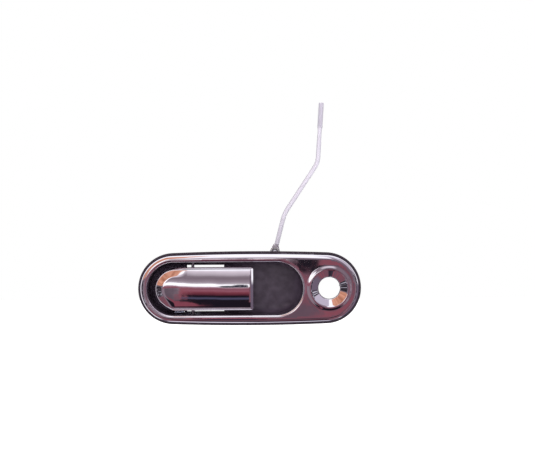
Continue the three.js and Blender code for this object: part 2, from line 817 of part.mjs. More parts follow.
const housingGroup = new THREE.Group();
addTo(housingGroup, 'bezel', makeBezel(), chrome);
addTo(housingGroup, 'gasket', makeGasket(), rubber);
addTo(housingGroup, 'housing', makeHousing(), blackPlastic);
addTo(housingGroup, 'closed_stop_bumper', makeClosedStopBumper(), greyRubber);
addTo(housingGroup, 'lock_retainer_clip', makeLockRetainer(), springSteel);
addTo(housingGroup, 'hinge_pin', makeHingePin(), platedSteel);
addTo(housingGroup, 'hinge_clip_upper', makeHingeClip(1), springSteel);
addTo(housingGroup, 'hinge_clip_lower', makeHingeClip(-1), springSteel);
addTo(housingGroup, 'return_spring', makeReturnSpring(), springSteel);
addTo(housingGroup, 'crank_rivet', makeCrankRivet(), platedSteel);
addTo(housingGroup, 'mounting_stud_front', makeStud(studPlaces.front, frontStudStart), platedSteel);
addTo(housingGroup, 'mounting_stud_rear', makeStud(studPlaces.rear, rearStudStart), platedSteel);
addTo(housingGroup, 'mounting_nut_front', makeNut(studPlaces.front), platedSteel);
addTo(housingGroup, 'mounting_nut_rear', makeNut(studPlaces.rear), platedSteel);
bezelScrewPlaces.forEach((place, index) => {
  addTo(housingGroup, `bezel_screw_${index + 1}`, makeBezelScrew(place), platedSteel);
});

const paddleGroup = new THREE.Group();
addTo(paddleGroup, 'paddle_cover', makePaddleCover(), chrome);
addTo(paddleGroup, 'paddle_carrier', makePaddleCarrier(), castZinc);
addTo(paddleGroup, 'hinge_bushing_upper', makeHingeBushing(1), naturalPlastic);
addTo(paddleGroup, 'hinge_bushing_lower', makeHingeBushing(-1), naturalPlastic);
coverScrewPlaces.forEach((x, index) => {
  addTo(paddleGroup, `cover_screw_${index + 1}`, makeCoverScrew(x), platedSteel);
});

const crankGroup = new THREE.Group();
addTo(crankGroup, 'bell_crank', makeBellCrank(), platedSteel);
addTo(crankGroup, 'crank_bushing', makeCrankBushing(), naturalPlastic);
addTo(crankGroup, 'crank_washer', makeCrankWasher(), platedSteel);
addTo(crankGroup, 'rod_bushing', makeRodBushing(), naturalPlastic);

const rodGroup = new THREE.Group();
addTo(rodGroup, 'link_rod', makeLinkRod(), platedSteel);
addTo(rodGroup, 'rod_clip', makeRodClip(), springSteel);

handle.add(housingGroup, paddleGroup, crankGroup, rodGroup);

export default handle;
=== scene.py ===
# Looks of the vehicle door handle: smooth shells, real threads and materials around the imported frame.
# Metres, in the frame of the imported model: X along the door, +Y into the door, +Z up.

import math

import bmesh
import bpy
from mathutils import Matrix, Vector
from mathutils.geometry import delaunay_2d_cdt


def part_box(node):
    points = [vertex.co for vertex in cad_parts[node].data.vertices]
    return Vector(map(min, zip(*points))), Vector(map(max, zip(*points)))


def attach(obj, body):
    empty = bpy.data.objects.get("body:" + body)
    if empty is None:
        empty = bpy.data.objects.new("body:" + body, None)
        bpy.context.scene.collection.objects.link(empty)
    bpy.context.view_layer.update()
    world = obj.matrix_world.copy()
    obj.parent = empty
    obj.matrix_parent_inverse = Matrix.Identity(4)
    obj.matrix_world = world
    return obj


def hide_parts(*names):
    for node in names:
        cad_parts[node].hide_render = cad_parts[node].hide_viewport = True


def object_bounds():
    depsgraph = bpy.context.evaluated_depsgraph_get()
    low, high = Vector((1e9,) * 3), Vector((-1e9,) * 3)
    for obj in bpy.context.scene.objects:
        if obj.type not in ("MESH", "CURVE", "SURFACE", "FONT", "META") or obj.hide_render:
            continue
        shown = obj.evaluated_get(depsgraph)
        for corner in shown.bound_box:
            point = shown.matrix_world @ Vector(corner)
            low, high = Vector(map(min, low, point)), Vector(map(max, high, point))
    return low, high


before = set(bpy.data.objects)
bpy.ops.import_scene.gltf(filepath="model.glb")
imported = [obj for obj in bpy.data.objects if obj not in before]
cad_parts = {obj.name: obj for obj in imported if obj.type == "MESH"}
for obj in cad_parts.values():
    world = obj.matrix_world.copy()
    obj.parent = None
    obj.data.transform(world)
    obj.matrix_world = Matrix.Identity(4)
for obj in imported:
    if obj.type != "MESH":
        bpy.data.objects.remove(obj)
cad_bounds = [list(corner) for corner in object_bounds()]

MM = 0.001

# ---------- driving dimensions ----------

bezel_low, bezel_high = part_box("bezel")
gasket_low, gasket_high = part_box("gasket")
housing_low, housing_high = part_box("housing")
paddle_low, paddle_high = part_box("paddle_cover")
rod_low, rod_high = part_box("link_rod")

BEZEL_END_RADIUS = 32.8 * MM
BEZEL_END_CENTRE = bezel_high.x - BEZEL_END_RADIUS
BEZEL_CREST = -8.6 * MM
BEZEL_REAR = -2.6 * MM
BEZEL_WALL = 2.2 * MM
BEZEL_HOLLOW = BEZEL_CREST + BEZEL_WALL
BEZEL_SIDE_RADIUS = (BEZEL_END_CENTRE**2 + bezel_high.z**2 - BEZEL_END_RADIUS**2) / (
    2 * (bezel_high.z - BEZEL_END_RADIUS)    # the long sides bow outward a little
)
BEZEL_SIDE_CENTRE = BEZEL_SIDE_RADIUS - bezel_high.z
EDGE_BREAK = 0.3 * MM

OPENING_LEFT_CENTRE = -73.1 * MM
OPENING_RIGHT_CENTRE = 26 * MM
OPENING_RADIUS = 25.5 * MM

FLANGE_FRONT = housing_low.y
FLANGE_REAR = -2.9 * MM
TUB_WALL = 2.2 * MM
BOWL_FLOOR = 21 * MM
BOWL_FILLET = 8 * MM
BOWL_END_RADIUS = 18 * MM        # large fillet at the bowl's right end
TUB_REAR = BOWL_FLOOR + TUB_WALL
TUB_FILLET = 10 * MM
TUB_END_RADIUS = 19 * MM

LOCK_X = 77 * MM
FUNNEL_MOUTH = 17.9 * MM
FUNNEL_HOLE = 10.5 * MM
FUNNEL_CREST = bezel_low.y + 0.3 * MM
FUNNEL_DEPTH = 4.2 * MM
FUNNEL_STEPS = 96                # points round the funnel

SLOT_LEFT = -62.6 * MM
SLOT_RIGHT = -25.7 * MM
SLOT_INNER = 14.4 * MM
UPPER_SLOT_OUTER = 22 * MM
LOWER_SLOT_OUTER = 23.9 * MM

BUMPER_RIGHT = -65.2 * MM        # the block that fills the hole in the bowl's floor
BUMPER_TOP = -18.6 * MM

PADDLE_RADIUS = paddle_high.z
PADDLE_LEFT_CENTRE = paddle_low.x + PADDLE_RADIUS
PADDLE_CREST = paddle_low.y
PADDLE_SKIRT = paddle_high.y
PADDLE_CROWN_RADIUS = 70 * MM
PADDLE_WALL = 2 * MM
PADDLE_CORNER = 2.5 * MM
NOSE_LENGTH = 8.8 * MM
NOSE_SLOPE = 0.42
NOSE_BLEND = 0.9 * MM
RIM_WIDTH = 2.5 * MM             # sloped border round the paddle's face
RIM_SLOPE = 0.85
RIM_BLEND = 0.3 * MM

END_STEPS = 56                   # points round each end arc
SIDE_STEPS = 40                  # points along each side
SQUARE_END_STEPS = 24            # points along the paddle's straight end
CORNER_STEPS = 10
TINY = 0.001 * MM                # stands for 0 where points would fall together
THREAD_PITCH = 1 * MM
THREAD_DEPTH = 0.55 * MM
TIP_CHAMFER = 0.7 * MM           # taken off a thread's radius at its end

# ---------- mesh helpers ----------


def arc_points(x, z, radius, start, end, steps):
    """Points round an arc in X and Z, without its last point."""
    angles = [start + (end - start) * index / steps for index in range(steps)]
    return [(x + radius * math.cos(angle), z + radius * math.sin(angle)) for angle in angles]


def line_points(start, end, steps):
    """Points along a straight line, without its last point."""
    return [
        (start[0] + (end[0] - start[0]) * share, start[1] + (end[1] - start[1]) * share)
        for share in [index / steps for index in range(steps)]
    ]


def bowed_outline(inset=0.0):
    """The bezel's outline: two end arcs joined by slightly bowed side arcs, moved inward by inset."""
    meeting = math.atan2(BEZEL_SIDE_CENTRE, BEZEL_END_CENTRE)
    end = BEZEL_END_RADIUS - inset
    side = BEZEL_SIDE_RADIUS - inset
    return (
        arc_points(BEZEL_END_CENTRE, 0, end, -meeting, meeting, END_STEPS)
        + arc_points(0, -BEZEL_SIDE_CENTRE, side, meeting, math.pi - meeting, SIDE_STEPS)
        + arc_points(-BEZEL_END_CENTRE, 0, end, math.pi - meeting, math.pi + meeting, END_STEPS)
        + arc_points(0, BEZEL_SIDE_CENTRE, side, math.pi + meeting, math.tau - meeting, SIDE_STEPS)
    )


def opening_outline(growth=0.0):
    """The finger opening's outline, moved outward by growth."""
    radius = OPENING_RADIUS + growth
    left = OPENING_LEFT_CENTRE
    right = OPENING_RIGHT_CENTRE
    return (
        arc_points(right, 0, radius, -math.pi / 2, math.pi / 2, END_STEPS)
        + line_points((right, radius), (left, radius), SIDE_STEPS)
        + arc_points(left, 0, radius, math.pi / 2, 1.5 * math.pi, END_STEPS)
        + line_points((left, -radius), (right, -radius), SIDE_STEPS)
    )


def paddle_outline(inset=0.0):
    """The paddle's outline: a half round left end and a straight right end with small corners."""
    radius = max(PADDLE_RADIUS - inset, 0)
    corner = min(max(PADDLE_CORNER - inset, 0.0), radius)
    right = paddle_high.x - inset
    left = PADDLE_LEFT_CENTRE
    half = radius - corner
    return (
        line_points((right, -half), (right, half), SQUARE_END_STEPS)
        + arc_points(right - corner, half, corner, 0, math.pi / 2, CORNER_STEPS)
        + line_points((right - corner, radius), (left, radius), 2 * SIDE_STEPS)
        + arc_points(left, 0, radius, math.pi / 2, 1.5 * math.pi, 2 * END_STEPS)
        + line_points((left, -radius), (right - corner, -radius), 2 * SIDE_STEPS)
        + arc_points(right - corner, -half, corner, -math.pi / 2, 0, CORNER_STEPS)
    )


def ring_at(bm, outline, depth):
    """Vertices along an outline. depth is one Y, or a function of (x, z) that gives it."""
    place = depth if callable(depth) else lambda x, z: depth
    return [bm.verts.new((x, place(x, z), z)) for x, z in outline]


def skin(bm, rings, closed=False):
    """Quads between neighbouring rings of equal length; closed also joins the last to the first."""
    pairs = list(zip(rings, rings[1:]))
    if closed:
        pairs.append((rings[-1], rings[0]))
    for near, far in pairs:
        count = len(near)
        for index in range(count):
            after = (index + 1) % count
            bm.faces.new((near[index], near[after], far[after], far[index]))


def quarter(steps, start=0.0):
    """(along, up) pairs of a quarter circle, from (0, 0) upright to (1, 1), where its slope is start."""
    angles = [math.pi / 2 + (start - math.pi / 2) * index / steps for index in range(steps + 1)]
    return [
        ((1 - math.sin(angle)) / (1 - math.sin(start)), math.cos(angle) / math.cos(start))
        for angle in angles
    ]


def object_from(bm, name):
    """Makes an object of the mesh and puts it in the scene."""
    mesh = bpy.data.meshes.new(name)
    bm.to_mesh(mesh)
    bm.free()
    item = bpy.data.objects.new(name, mesh)
    bpy.context.scene.collection.objects.link(item)
    return item


def close_up(bm, weld):
    """Joins points nearer than weld, drops what has no area, and turns the faces outward."""
    bmesh.ops.remove_doubles(bm, verts=bm.verts, dist=weld)
    bmesh.ops.dissolve_degenerate(bm, edges=bm.edges, dist=1e-7)
    bmesh.ops.recalc_face_normals(bm, faces=bm.faces)


def piece_from(bm, name, material, body, nodes, sharp_degrees=35):
    """Closes the mesh, makes the object, ties it to its body, and hides its CAD nodes."""
    close_up(bm, 2e-6)
    settle(object_from(bm, name), material, body, nodes, sharp_degrees)


def settle(piece, material, body, nodes, sharp_degrees):
    """Shades the piece smooth up to an angle, hangs it on its body, and hides the CAD nodes that it
    replaces.
    """
    piece.data.shade_smooth()
    piece.data.set_sharp_from_angle(angle=math.radians(sharp_degrees))
    piece.data.materials.clear()
    piece.data.materials.append(material)
    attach(piece, body)
    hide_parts(*nodes)


def ring_round(bm, steps, place):
    """Vertices round one turn, at place(angle)."""
    return [bm.verts.new(place(math.tau * step / steps)) for step in range(steps)]


def turned(bm, x, z, profile, steps=64, wobble=lambda angle, index: 1):
    """Rings round an axis along Y. The profile's points are (radius, y) and close on themselves.
    wobble(angle, index) scales the radius of a point of the profile."""
    rings = []
    for index, (radius, y) in enumerate(profile):

        def place(angle):
            reach = radius * wobble(angle, index)
            return x + reach * math.cos(angle), y, z + reach * math.sin(angle)

        rings.append(ring_round(bm, steps, place))
    skin(bm, rings, closed=True)


def middle_of(node):
    """X and Z of a CAD node's middle."""
    low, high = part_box(node)
    return (low.x + high.x) / 2, (low.z + high.z) / 2


def frames_along(points, side):
    """The points of a path, each with two directions across it that turn as little as they can."""
    for index, point in enumerate(points):
        heading = (points[min(index + 1, len(points) - 1)] - points[max(index - 1, 0)]).normalized()
        side = (side - side.dot(heading) * heading).normalized()
        yield point, side, heading.cross(side)


def smooth_step(low, high, value):
    """0 below low, 1 above high, and an even rise in between."""
    share = min(max((value - low) / (high - low), 0), 1)
    return share * share * (3 - 2 * share)


# ---------- materials ----------


def add_node(tree, kind, values, **settings):
    """A node with its settings. Each input named or numbered in values is set, or linked to a socket."""
    node = tree.nodes.new(kind)
    for name, value in settings.items():
        setattr(node, name, value)
    for name, value in values.items():
        if hasattr(value, "is_linked"):
            tree.links.new(value, node.inputs[name])
        else:
            node.inputs[name].default_value = value
    return node


def add_ramp(tree, fac, *stops):
    """The colour at fac on a ramp through stops of (position, colour)."""
    node = add_node(tree, "ShaderNodeValToRGB", {"Fac": fac})
    elements = node.color_ramp.elements
    while len(elements) < len(stops):
        elements.new(0.5)
    for element, (position, colour) in zip(elements, stops):
        element.position = position
        element.color = (*colour, 1)
    return node.outputs["Color"]


def add_noise(tree, place, scale, detail):
    values = {"Vector": place, "Scale": scale, "Detail": detail}
    return add_node(tree, "ShaderNodeTexNoise", values).outputs["Fac"]


def noise_at(tree, scale, detail, stretch):
    """Noise in object space; scale is in turns per metre."""
    place = tree.nodes.new("ShaderNodeTexCoord").outputs["Object"]
    mapping = add_node(tree, "ShaderNodeMapping", {"Vector": place, "Scale": stretch})
    return add_noise(tree, mapping.outputs["Vector"], scale, detail)


def new_material(name, settings):
    material = bpy.data.materials.new(name)
    material.use_nodes = True
    shader = material.node_tree.nodes["Principled BSDF"]
    for setting, value in settings.items():
        shader.inputs[setting].default_value = value
    return material, material.node_tree, shader


def grained(name, settings, colour, roughness, bumps, stretch=(1, 1, 1)):
    """A material that varies by noise. colour is (scale, detail, dark, light), roughness is
    (scale, detail, low, high), and bumps are (scale, detail, height in metres). stretch draws the
    grain of the roughness and the bumps out."""
    material, tree, shader = new_material(name, settings)
    scale, detail, dark, light = colour
    patches = noise_at(tree, scale, detail, (1, 1, 1))
    tree.links.new(add_ramp(tree, patches, (0.35, dark), (0.65, light)), shader.inputs["Base Color"])
    scale, detail, low, high = roughness
    spread = add_node(tree, "ShaderNodeMapRange", {
        "Value": noise_at(tree, scale, detail, stretch),
        "From Min": 0.3, "From Max": 0.7, "To Min": low, "To Max": high,
    })
    tree.links.new(spread.outputs["Result"], shader.inputs["Roughness"])
    scale, detail, height = bumps
    grain = noise_at(tree, scale, detail, stretch)
    bump = add_node(tree, "ShaderNodeBump", {"Height": grain, "Distance": height})
    tree.links.new(bump.outputs["Normal"], shader.inputs["Normal"])
    return material


def chrome_plate():
    """Polished chrome: nearly a mirror, with the faint ripple of a plated casting."""
    return grained(
        "chrome_plate",
        {"Metallic": 1},
        (55, 4, (0.80, 0.79, 0.83), (0.87, 0.86, 0.90)),
        (240, 5, 0.02, 0.055),
        (70, 1, 0.00004),
    )


def moulded_rubber(name, dark, light):
    """Matt rubber with a fine moulded grain."""
    settings = {"Specular IOR Level": 0.35}
    return grained(name, settings, (420, 6, dark, light), (260, 5, 0.5, 0.78), (3200, 4, 0.00006))


def bowl_plastic():
    """Black moulded plastic with a fine spark-eroded grain."""
    return grained(
        "bowl_plastic",
        {"Specular IOR Level": 0.45},
        (150, 5, (0.036, 0.025, 0.040), (0.056, 0.040, 0.061)),
        (900, 4, 0.42, 0.62),
        (2600, 3, 0.00005),
    )


def cast_zinc():
    """Dull grey casting with an uneven skin."""
    return grained(
        "cast_zinc",
        {"Metallic": 0.45},
        (130, 7, (0.45, 0.45, 0.53), (0.52, 0.52, 0.60)),
        (700, 5, 0.38, 0.6),
        (1400, 5, 0.00003),
    )


def plated_steel(name, dark, light, stretch=(1, 1, 1), metallic=0.9):
    """Zinc-plated steel; stretch draws its fine lines out along the direction that it was worked in."""
    return grained(
        name,
        {"Metallic": metallic},
        (120, 6, dark, light),
        (900, 4, 0.36, 0.44),
        (900, 4, 0.00001),
        stretch,
    )


def acetal():
    """Slippery off-white plastic that light enters a little."""
    return grained(
        "acetal",
        {"Subsurface Weight": 0.2, "Subsurface Radius": (0.002, 0.0018, 0.0015)},
        (300, 4, (0.66, 0.64, 0.58), (0.76, 0.74, 0.68)),
        (800, 4, 0.35, 0.5),
        (1800, 3, 0.00002),
    )


CHROME = chrome_plate()
BLACK_RUBBER = moulded_rubber("black_rubber", (0.018, 0.012, 0.019), (0.032, 0.022, 0.033))
GREY_RUBBER = moulded_rubber("grey_rubber", (0.34, 0.34, 0.48), (0.46, 0.46, 0.62))
BOWL_PLASTIC = bowl_plastic()
CAST_ZINC = cast_zinc()
STEEL = plated_steel("plated_steel", (0.50, 0.49, 0.54), (0.64, 0.63, 0.69))
ROD_STEEL = plated_steel("rod_steel", (0.49, 0.46, 0.53), (0.53, 0.50, 0.57), (1, 1, 0.08), 0.25)
SPRING_STEEL = plated_steel("spring_steel", (0.28, 0.28, 0.31), (0.42, 0.42, 0.46))
ACETAL = acetal()

# ---------- gasket ----------


def make_gasket():
    """Rubber ring with a rounded lip that shows outside the bezel."""
    overhang = gasket_high.x - bezel_high.x
    inner = 4.7 * MM
    front = gasket_low.y
    lip = 0.9 * MM
    rear_break = 0.25 * MM
    inner_break = 0.4 * MM
    profile = [(inner, 0.0), (rear_break - overhang, 0.0), (-overhang, -EDGE_BREAK)]
    profile += [(-overhang, front + lip)]
    profile += [(-overhang + lip * along, front + lip - lip * up) for along, up in quarter(6)]
    profile += [(inner - inner_break, front), (inner, front + inner_break)]
    bm = bmesh.new()
    rings = [ring_at(bm, bowed_outline(inset), y) for inset, y in profile]
    skin(bm, rings, closed=True)
    piece_from(bm, "gasket_ring", BLACK_RUBBER, "handle_body", ["gasket"])


# ---------- bezel ----------

OUTER_ROLL = (4.5 * MM, 4.2 * MM)      # how far the outer edge's rounding runs inward, and how deep
INNER_ROLL = (2.2 * MM, 2.1 * MM)
ROLL_START = math.radians(17)          # the rounding starts at this slope, with a soft crease
FUNNEL_BLEND = 22.4 * MM               # radius where the raised ring round the funnel meets the face


def bezel_face(x, z):
    """Y of the bezel's front face, which falls away a little towards its edges."""
    across = (z / bezel_high.z) ** 2
    along = (x / bezel_high.x) ** 4
    return BEZEL_CREST + 0.25 * MM * across + 0.3 * MM * along


def in_bowed(x, z, inset):
    """Whether a point is inside the bezel's outline, moved inward by inset."""
    if abs(x) > BEZEL_END_CENTRE:
        return math.hypot(abs(x) - BEZEL_END_CENTRE, z) < BEZEL_END_RADIUS - inset
    return math.hypot(x, abs(z) + BEZEL_SIDE_CENTRE) < BEZEL_SIDE_RADIUS - inset


def in_opening(x, z, growth):
    """Whether a point is inside the finger opening, moved outward by growth."""
    nearest = min(max(x, OPENING_LEFT_CENTRE), OPENING_RIGHT_CENTRE)
    return math.hypot(x - nearest, z) < OPENING_RADIUS + growth


def lock_circle(radius):
    """Points round the lock's axis."""
    return arc_points(LOCK_X, 0, radius, 0, math.tau, FUNNEL_STEPS)


def webbed_face(bm, outer_inset, opening_growth, funnel_radius, depth, spacing=1.5 * MM):
    """The face between the bezel's outline, the opening and the funnel, as triangles."""

    def on_face(x, z, margin):
        inside = in_bowed(x, z, outer_inset + margin)
        clear = not in_opening(x, z, opening_growth + margin)
        return inside and clear and math.hypot(x - LOCK_X, z) >= funnel_radius + margin

    points = []
    edges = []
    for loop in (bowed_outline(outer_inset), opening_outline(opening_growth), lock_circle(funnel_radius)):
        first = len(points)
        points += [Vector(point) for point in loop]
        edges += [(first + index, first + (index + 1) % len(loop)) for index in range(len(loop))]
    margin = spacing * 0.45
    columns = int(bezel_high.x / spacing)
    rows = int(bezel_high.z / spacing)
    for column in range(-columns, columns + 1):
        for row in range(-rows, rows + 1):
            if on_face(column * spacing, row * spacing, margin):
                points.append(Vector((column * spacing, row * spacing)))
    flat_points, _, triangles, _, _, _ = delaunay_2d_cdt(points, edges, [], 0, 1e-7)
    verts = [bm.verts.new((point.x, depth(point.x, point.y), point.y)) for point in flat_points]
    for triangle in triangles:
        x = sum(flat_points[index].x for index in triangle) / 3
        z = sum(flat_points[index].y for index in triangle) / 3
        if on_face(x, z, 0):
            bm.faces.new([verts[index] for index in triangle])


def rounded_edge(bm, rings, outline, roll, steps, slope=0.0):
    """Skins the rings, and goes on from them round an edge up to the face."""
    run, depth = roll
    for along, up in quarter(steps, slope):
        sunk = depth * (1 - up)
        rings.append(ring_at(bm, outline(run * along), lambda x, z: bezel_face(x, z) + sunk))
    skin(bm, rings)


def bezel_outer_edge(bm):
    """From the hollow behind the face, round the rear rim and up the outer rounding."""
    rounded_edge(bm, [
        ring_at(bm, bowed_outline(BEZEL_WALL), BEZEL_HOLLOW),
        ring_at(bm, bowed_outline(BEZEL_WALL), BEZEL_REAR),
        ring_at(bm, bowed_outline(EDGE_BREAK), BEZEL_REAR),
        ring_at(bm, bowed_outline(0), BEZEL_REAR - EDGE_BREAK),
    ], bowed_outline, OUTER_ROLL, 16, ROLL_START)


def bezel_opening_edge(bm):
    """From the hollow, round the lip that stands on the housing and up to the face."""
    lip_rear = FLANGE_FRONT - EDGE_BREAK
    least_lip = 0.9 * MM
    run, most = INNER_ROLL
    depth = min(most, lip_rear - BEZEL_CREST - least_lip)
    rounded_edge(bm, [
        ring_at(bm, opening_outline(BEZEL_WALL), BEZEL_HOLLOW),
        ring_at(bm, opening_outline(BEZEL_WALL), lip_rear),
        ring_at(bm, opening_outline(0.2 * MM), lip_rear),
    ], opening_outline, (run, depth), 10)


def funnel_profile():
    """(radius, y) from the hollow, over the spigot behind the lock hole, up the cone to its crown."""
    hole_front = FUNNEL_CREST + FUNNEL_DEPTH
    hole_rear = hole_front + 2 * MM
    spigot = FUNNEL_HOLE + 1.9 * MM
    cone_width = FUNNEL_MOUTH - FUNNEL_HOLE
    profile = [
        (FUNNEL_BLEND - 1 * MM, BEZEL_HOLLOW),
        (FUNNEL_MOUTH + 1.3 * MM, BEZEL_HOLLOW),
        (spigot, hole_rear - 1 * MM),
        (spigot, hole_rear),
        (FUNNEL_HOLE, hole_rear),
        (FUNNEL_HOLE, hole_front + 0.5 * MM),
        (FUNNEL_HOLE + 0.15 * MM, hole_front + 0.1 * MM),
    ]
    cone_steps = 12
    for share in [step / (cone_steps + 1) for step in range(1, cone_steps + 1)]:
        profile.append((FUNNEL_HOLE + cone_width * share, hole_front - FUNNEL_DEPTH * share))
    cone_slope = math.atan2(FUNNEL_DEPTH, cone_width)
    crown_steps = 12
    crown_radius = 1.1 * MM
    crown_centre = FUNNEL_MOUTH + crown_radius * math.sin(cone_slope)
    outer_slope = math.radians(3)
    for step in range(crown_steps + 1):
        angle = -cone_slope + (cone_slope + outer_slope) * step / crown_steps
        profile.append((
            crown_centre + crown_radius * math.sin(angle),
            FUNNEL_CREST + crown_radius * (1 - math.cos(angle)),
        ))
    return profile


def bezel_funnel(bm):
    """The funnel, with a ring outside its crown that blends into the face."""
    profile = funnel_profile()
    rings = [ring_at(bm, lock_circle(radius), y) for radius, y in profile]
    last_radius, last_y = profile[-1]
    blend_steps = 8
    for step in range(1, blend_steps + 1):
        share = smooth_step(0, 1, step / blend_steps)
        radius = last_radius + (FUNNEL_BLEND - last_radius) * step / blend_steps
        rings.append(ring_at(
            bm, lock_circle(radius), lambda x, z: last_y + (bezel_face(x, z) - last_y) * share,
        ))
    skin(bm, rings)


def make_bezel():
    """The chrome surround as one thin shell, with its edges, its funnel and both sides of its face."""
    bm = bmesh.new()
    bezel_outer_edge(bm)
    bezel_opening_edge(bm)
    bezel_funnel(bm)
    webbed_face(bm, OUTER_ROLL[0], INNER_ROLL[0], FUNNEL_BLEND, bezel_face)
    webbed_face(bm, BEZEL_WALL, BEZEL_WALL, FUNNEL_BLEND - 1 * MM, lambda x, z: BEZEL_HOLLOW, 5 * MM)
    piece_from(bm, "bezel_shell", CHROME, "handle_body", ["bezel"], 50)


# ---------- housing ----------


def box_tool(low, high):
    """A box to cut with, between two corners."""
    bm = bmesh.new()
    size = Vector(high) - Vector(low)
    middle = (Vector(high) + Vector(low)) / 2
    bmesh.ops.create_cube(bm, size=1, matrix=Matrix.Translation(middle) @ Matrix.Diagonal((*size, 1)))
    return bm


def turned_tool(x, z, profile, steps=64):
    """A turned solid to cut or join with; its profile starts and ends on the axis."""
    bm = bmesh.new()
    turned(bm, x, z, profile, steps)
    bmesh.ops.remove_doubles(bm, verts=bm.verts, dist=1e-5)
    bmesh.ops.recalc_face_normals(bm, faces=bm.faces)
    return bm


def round_tool(x, z, radius, front, rear, steps=48):
    return turned_tool(x, z, [(TINY, front), (radius, front), (radius, rear), (TINY, rear)], steps)


def apply_tool(piece, tool, operation):
    """Cuts the tool from the piece or joins it on, and leaves no tool behind."""
    cutter = object_from(tool, "tool")
    modifier = piece.modifiers.new("cut", "BOOLEAN")
    modifier.operation = operation
    modifier.solver = "EXACT"
    modifier.object = cutter
    evaluated = piece.evaluated_get(bpy.context.evaluated_depsgraph_get())
    result = bpy.data.meshes.new_from_object(evaluated)
    piece.modifiers.clear()
    old = piece.data
    piece.data = result
    used = cutter.data
    bpy.data.objects.remove(cutter)
    for mesh in (old, used):
        bpy.data.meshes.remove(mesh)


def bowl_depth(y, end_centre, end_radius, bottom):
    """Limits a depth of the tub to the large fillet at its right end."""

    def place(x, z):
        if x <= end_centre:
            return y
        reach = min((x - end_centre) / end_radius, 1)
        return min(y, bottom - end_radius + end_radius * math.sqrt(1 - reach * reach))

    return place


def tub_rings(bm, growth, top, bottom, fillet, end_radius):
    """Rings from the rim down the wall, round the fillet and over the floor to its middle line."""
    radius = OPENING_RADIUS + growth
    right = OPENING_RIGHT_CENTRE + radius
    wall_steps = 8
    fillet_steps = 12
    floor_steps = 10
    steps = [
        (0.0, top + (bottom - fillet - top) * index / wall_steps) for index in range(wall_steps + 1)
    ]
    steps += [
        (fillet * (1 - math.cos(angle)), bottom - fillet + fillet * math.sin(angle))
        for angle in [math.pi / 2 * index / fillet_steps for index in range(1, fillet_steps + 1)]
    ]
    steps += [
        (fillet + (radius - fillet) * index / floor_steps, bottom) for index in range(1, floor_steps + 1)
    ]
    return [
        ring_at(
            bm,
            opening_outline(growth - min(inset, radius - TINY)),
            bowl_depth(y, right - end_radius, end_radius, bottom),
        )
        for inset, y in steps
    ]


def make_tub():
    """The bowl, its outer skin and the flange that joins them."""
    bm = bmesh.new()
    inner = tub_rings(bm, 0, FLANGE_FRONT, BOWL_FLOOR, BOWL_FILLET, BOWL_END_RADIUS)
    outer = tub_rings(bm, TUB_WALL, FLANGE_REAR, TUB_REAR, TUB_FILLET, TUB_END_RADIUS)
    edge = 2.5 * MM
    flange = [ring_at(bm, bowed_outline(edge), y) for y in (FLANGE_FRONT, FLANGE_REAR)]
    skin(bm, inner[::-1] + flange + outer)
    close_up(bm, 3e-6)
    return object_from(bm, "housing_tub")


def lock_sleeve():
    """Sleeve behind the funnel that takes the lock's body, flush with the flange."""
    collar = FUNNEL_MOUTH + 3.4 * MM
    tube = 15 * MM
    rear = 18 * MM
    chamfer = 0.4 * MM
    flush = 0.02 * MM
    return turned_tool(LOCK_X, 0, [
        (TINY, FLANGE_FRONT + flush),
        (collar, FLANGE_FRONT + flush),
        (collar, FLANGE_REAR - flush),
        (tube, 3.4 * MM),
        (tube, rear - chamfer),
        (tube - chamfer, rear),
        (TINY, rear),
    ])


def lock_bore():
    """The space inside the sleeve: a cone behind the funnel and a straight bore."""
    mouth = FUNNEL_MOUTH + 2 * MM
    mouth_y = FLANGE_FRONT - 1 * MM
    bore = 13 * MM
    rear = 19 * MM
    return turned_tool(LOCK_X, 0, [
        (TINY, mouth_y),
        (mouth, mouth_y),
        (bore, mouth_y + mouth - bore),
        (bore, rear),
        (TINY, rear),
    ])


def floor_windows():
    """The two see-through slots and the bumper's hole in the bowl's floor."""
    front = 12 * MM
    rear = TUB_REAR + 1 * MM
    gap = 0.3 * MM
    bumper_low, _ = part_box("closed_stop_bumper")
    return [
        box_tool((SLOT_LEFT, front, SLOT_INNER), (SLOT_RIGHT, rear, UPPER_SLOT_OUTER)),
        box_tool((SLOT_LEFT, front, -LOWER_SLOT_OUTER), (SLOT_RIGHT, rear, -SLOT_INNER)),
        box_tool((bumper_low.x - gap, front, bumper_low.z - gap), (BUMPER_RIGHT + gap, rear, BUMPER_TOP)),
    ]


def retainer_slot():
    """The slot in the lock sleeve, open at its top, that the retainer clip slides into."""
    gap = 0.3 * MM
    low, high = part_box("lock_retainer_clip")
    return box_tool(
        (low.x - gap, low.y - gap, low.z - gap), (high.x + gap, high.y + gap, high.z + 1 * MM),
    )


def hinge_bore():
    """The upright bore through the bowl's walls for the hinge pin."""
    radius = 1.8 * MM
    low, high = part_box("hinge_pin")
    bm = bmesh.new()
    bmesh.ops.create_cone(
        bm, cap_ends=True, segments=32, radius1=radius, radius2=radius, depth=60 * MM,
        matrix=Matrix.Translation((low + high) / 2),
    )
    return bm


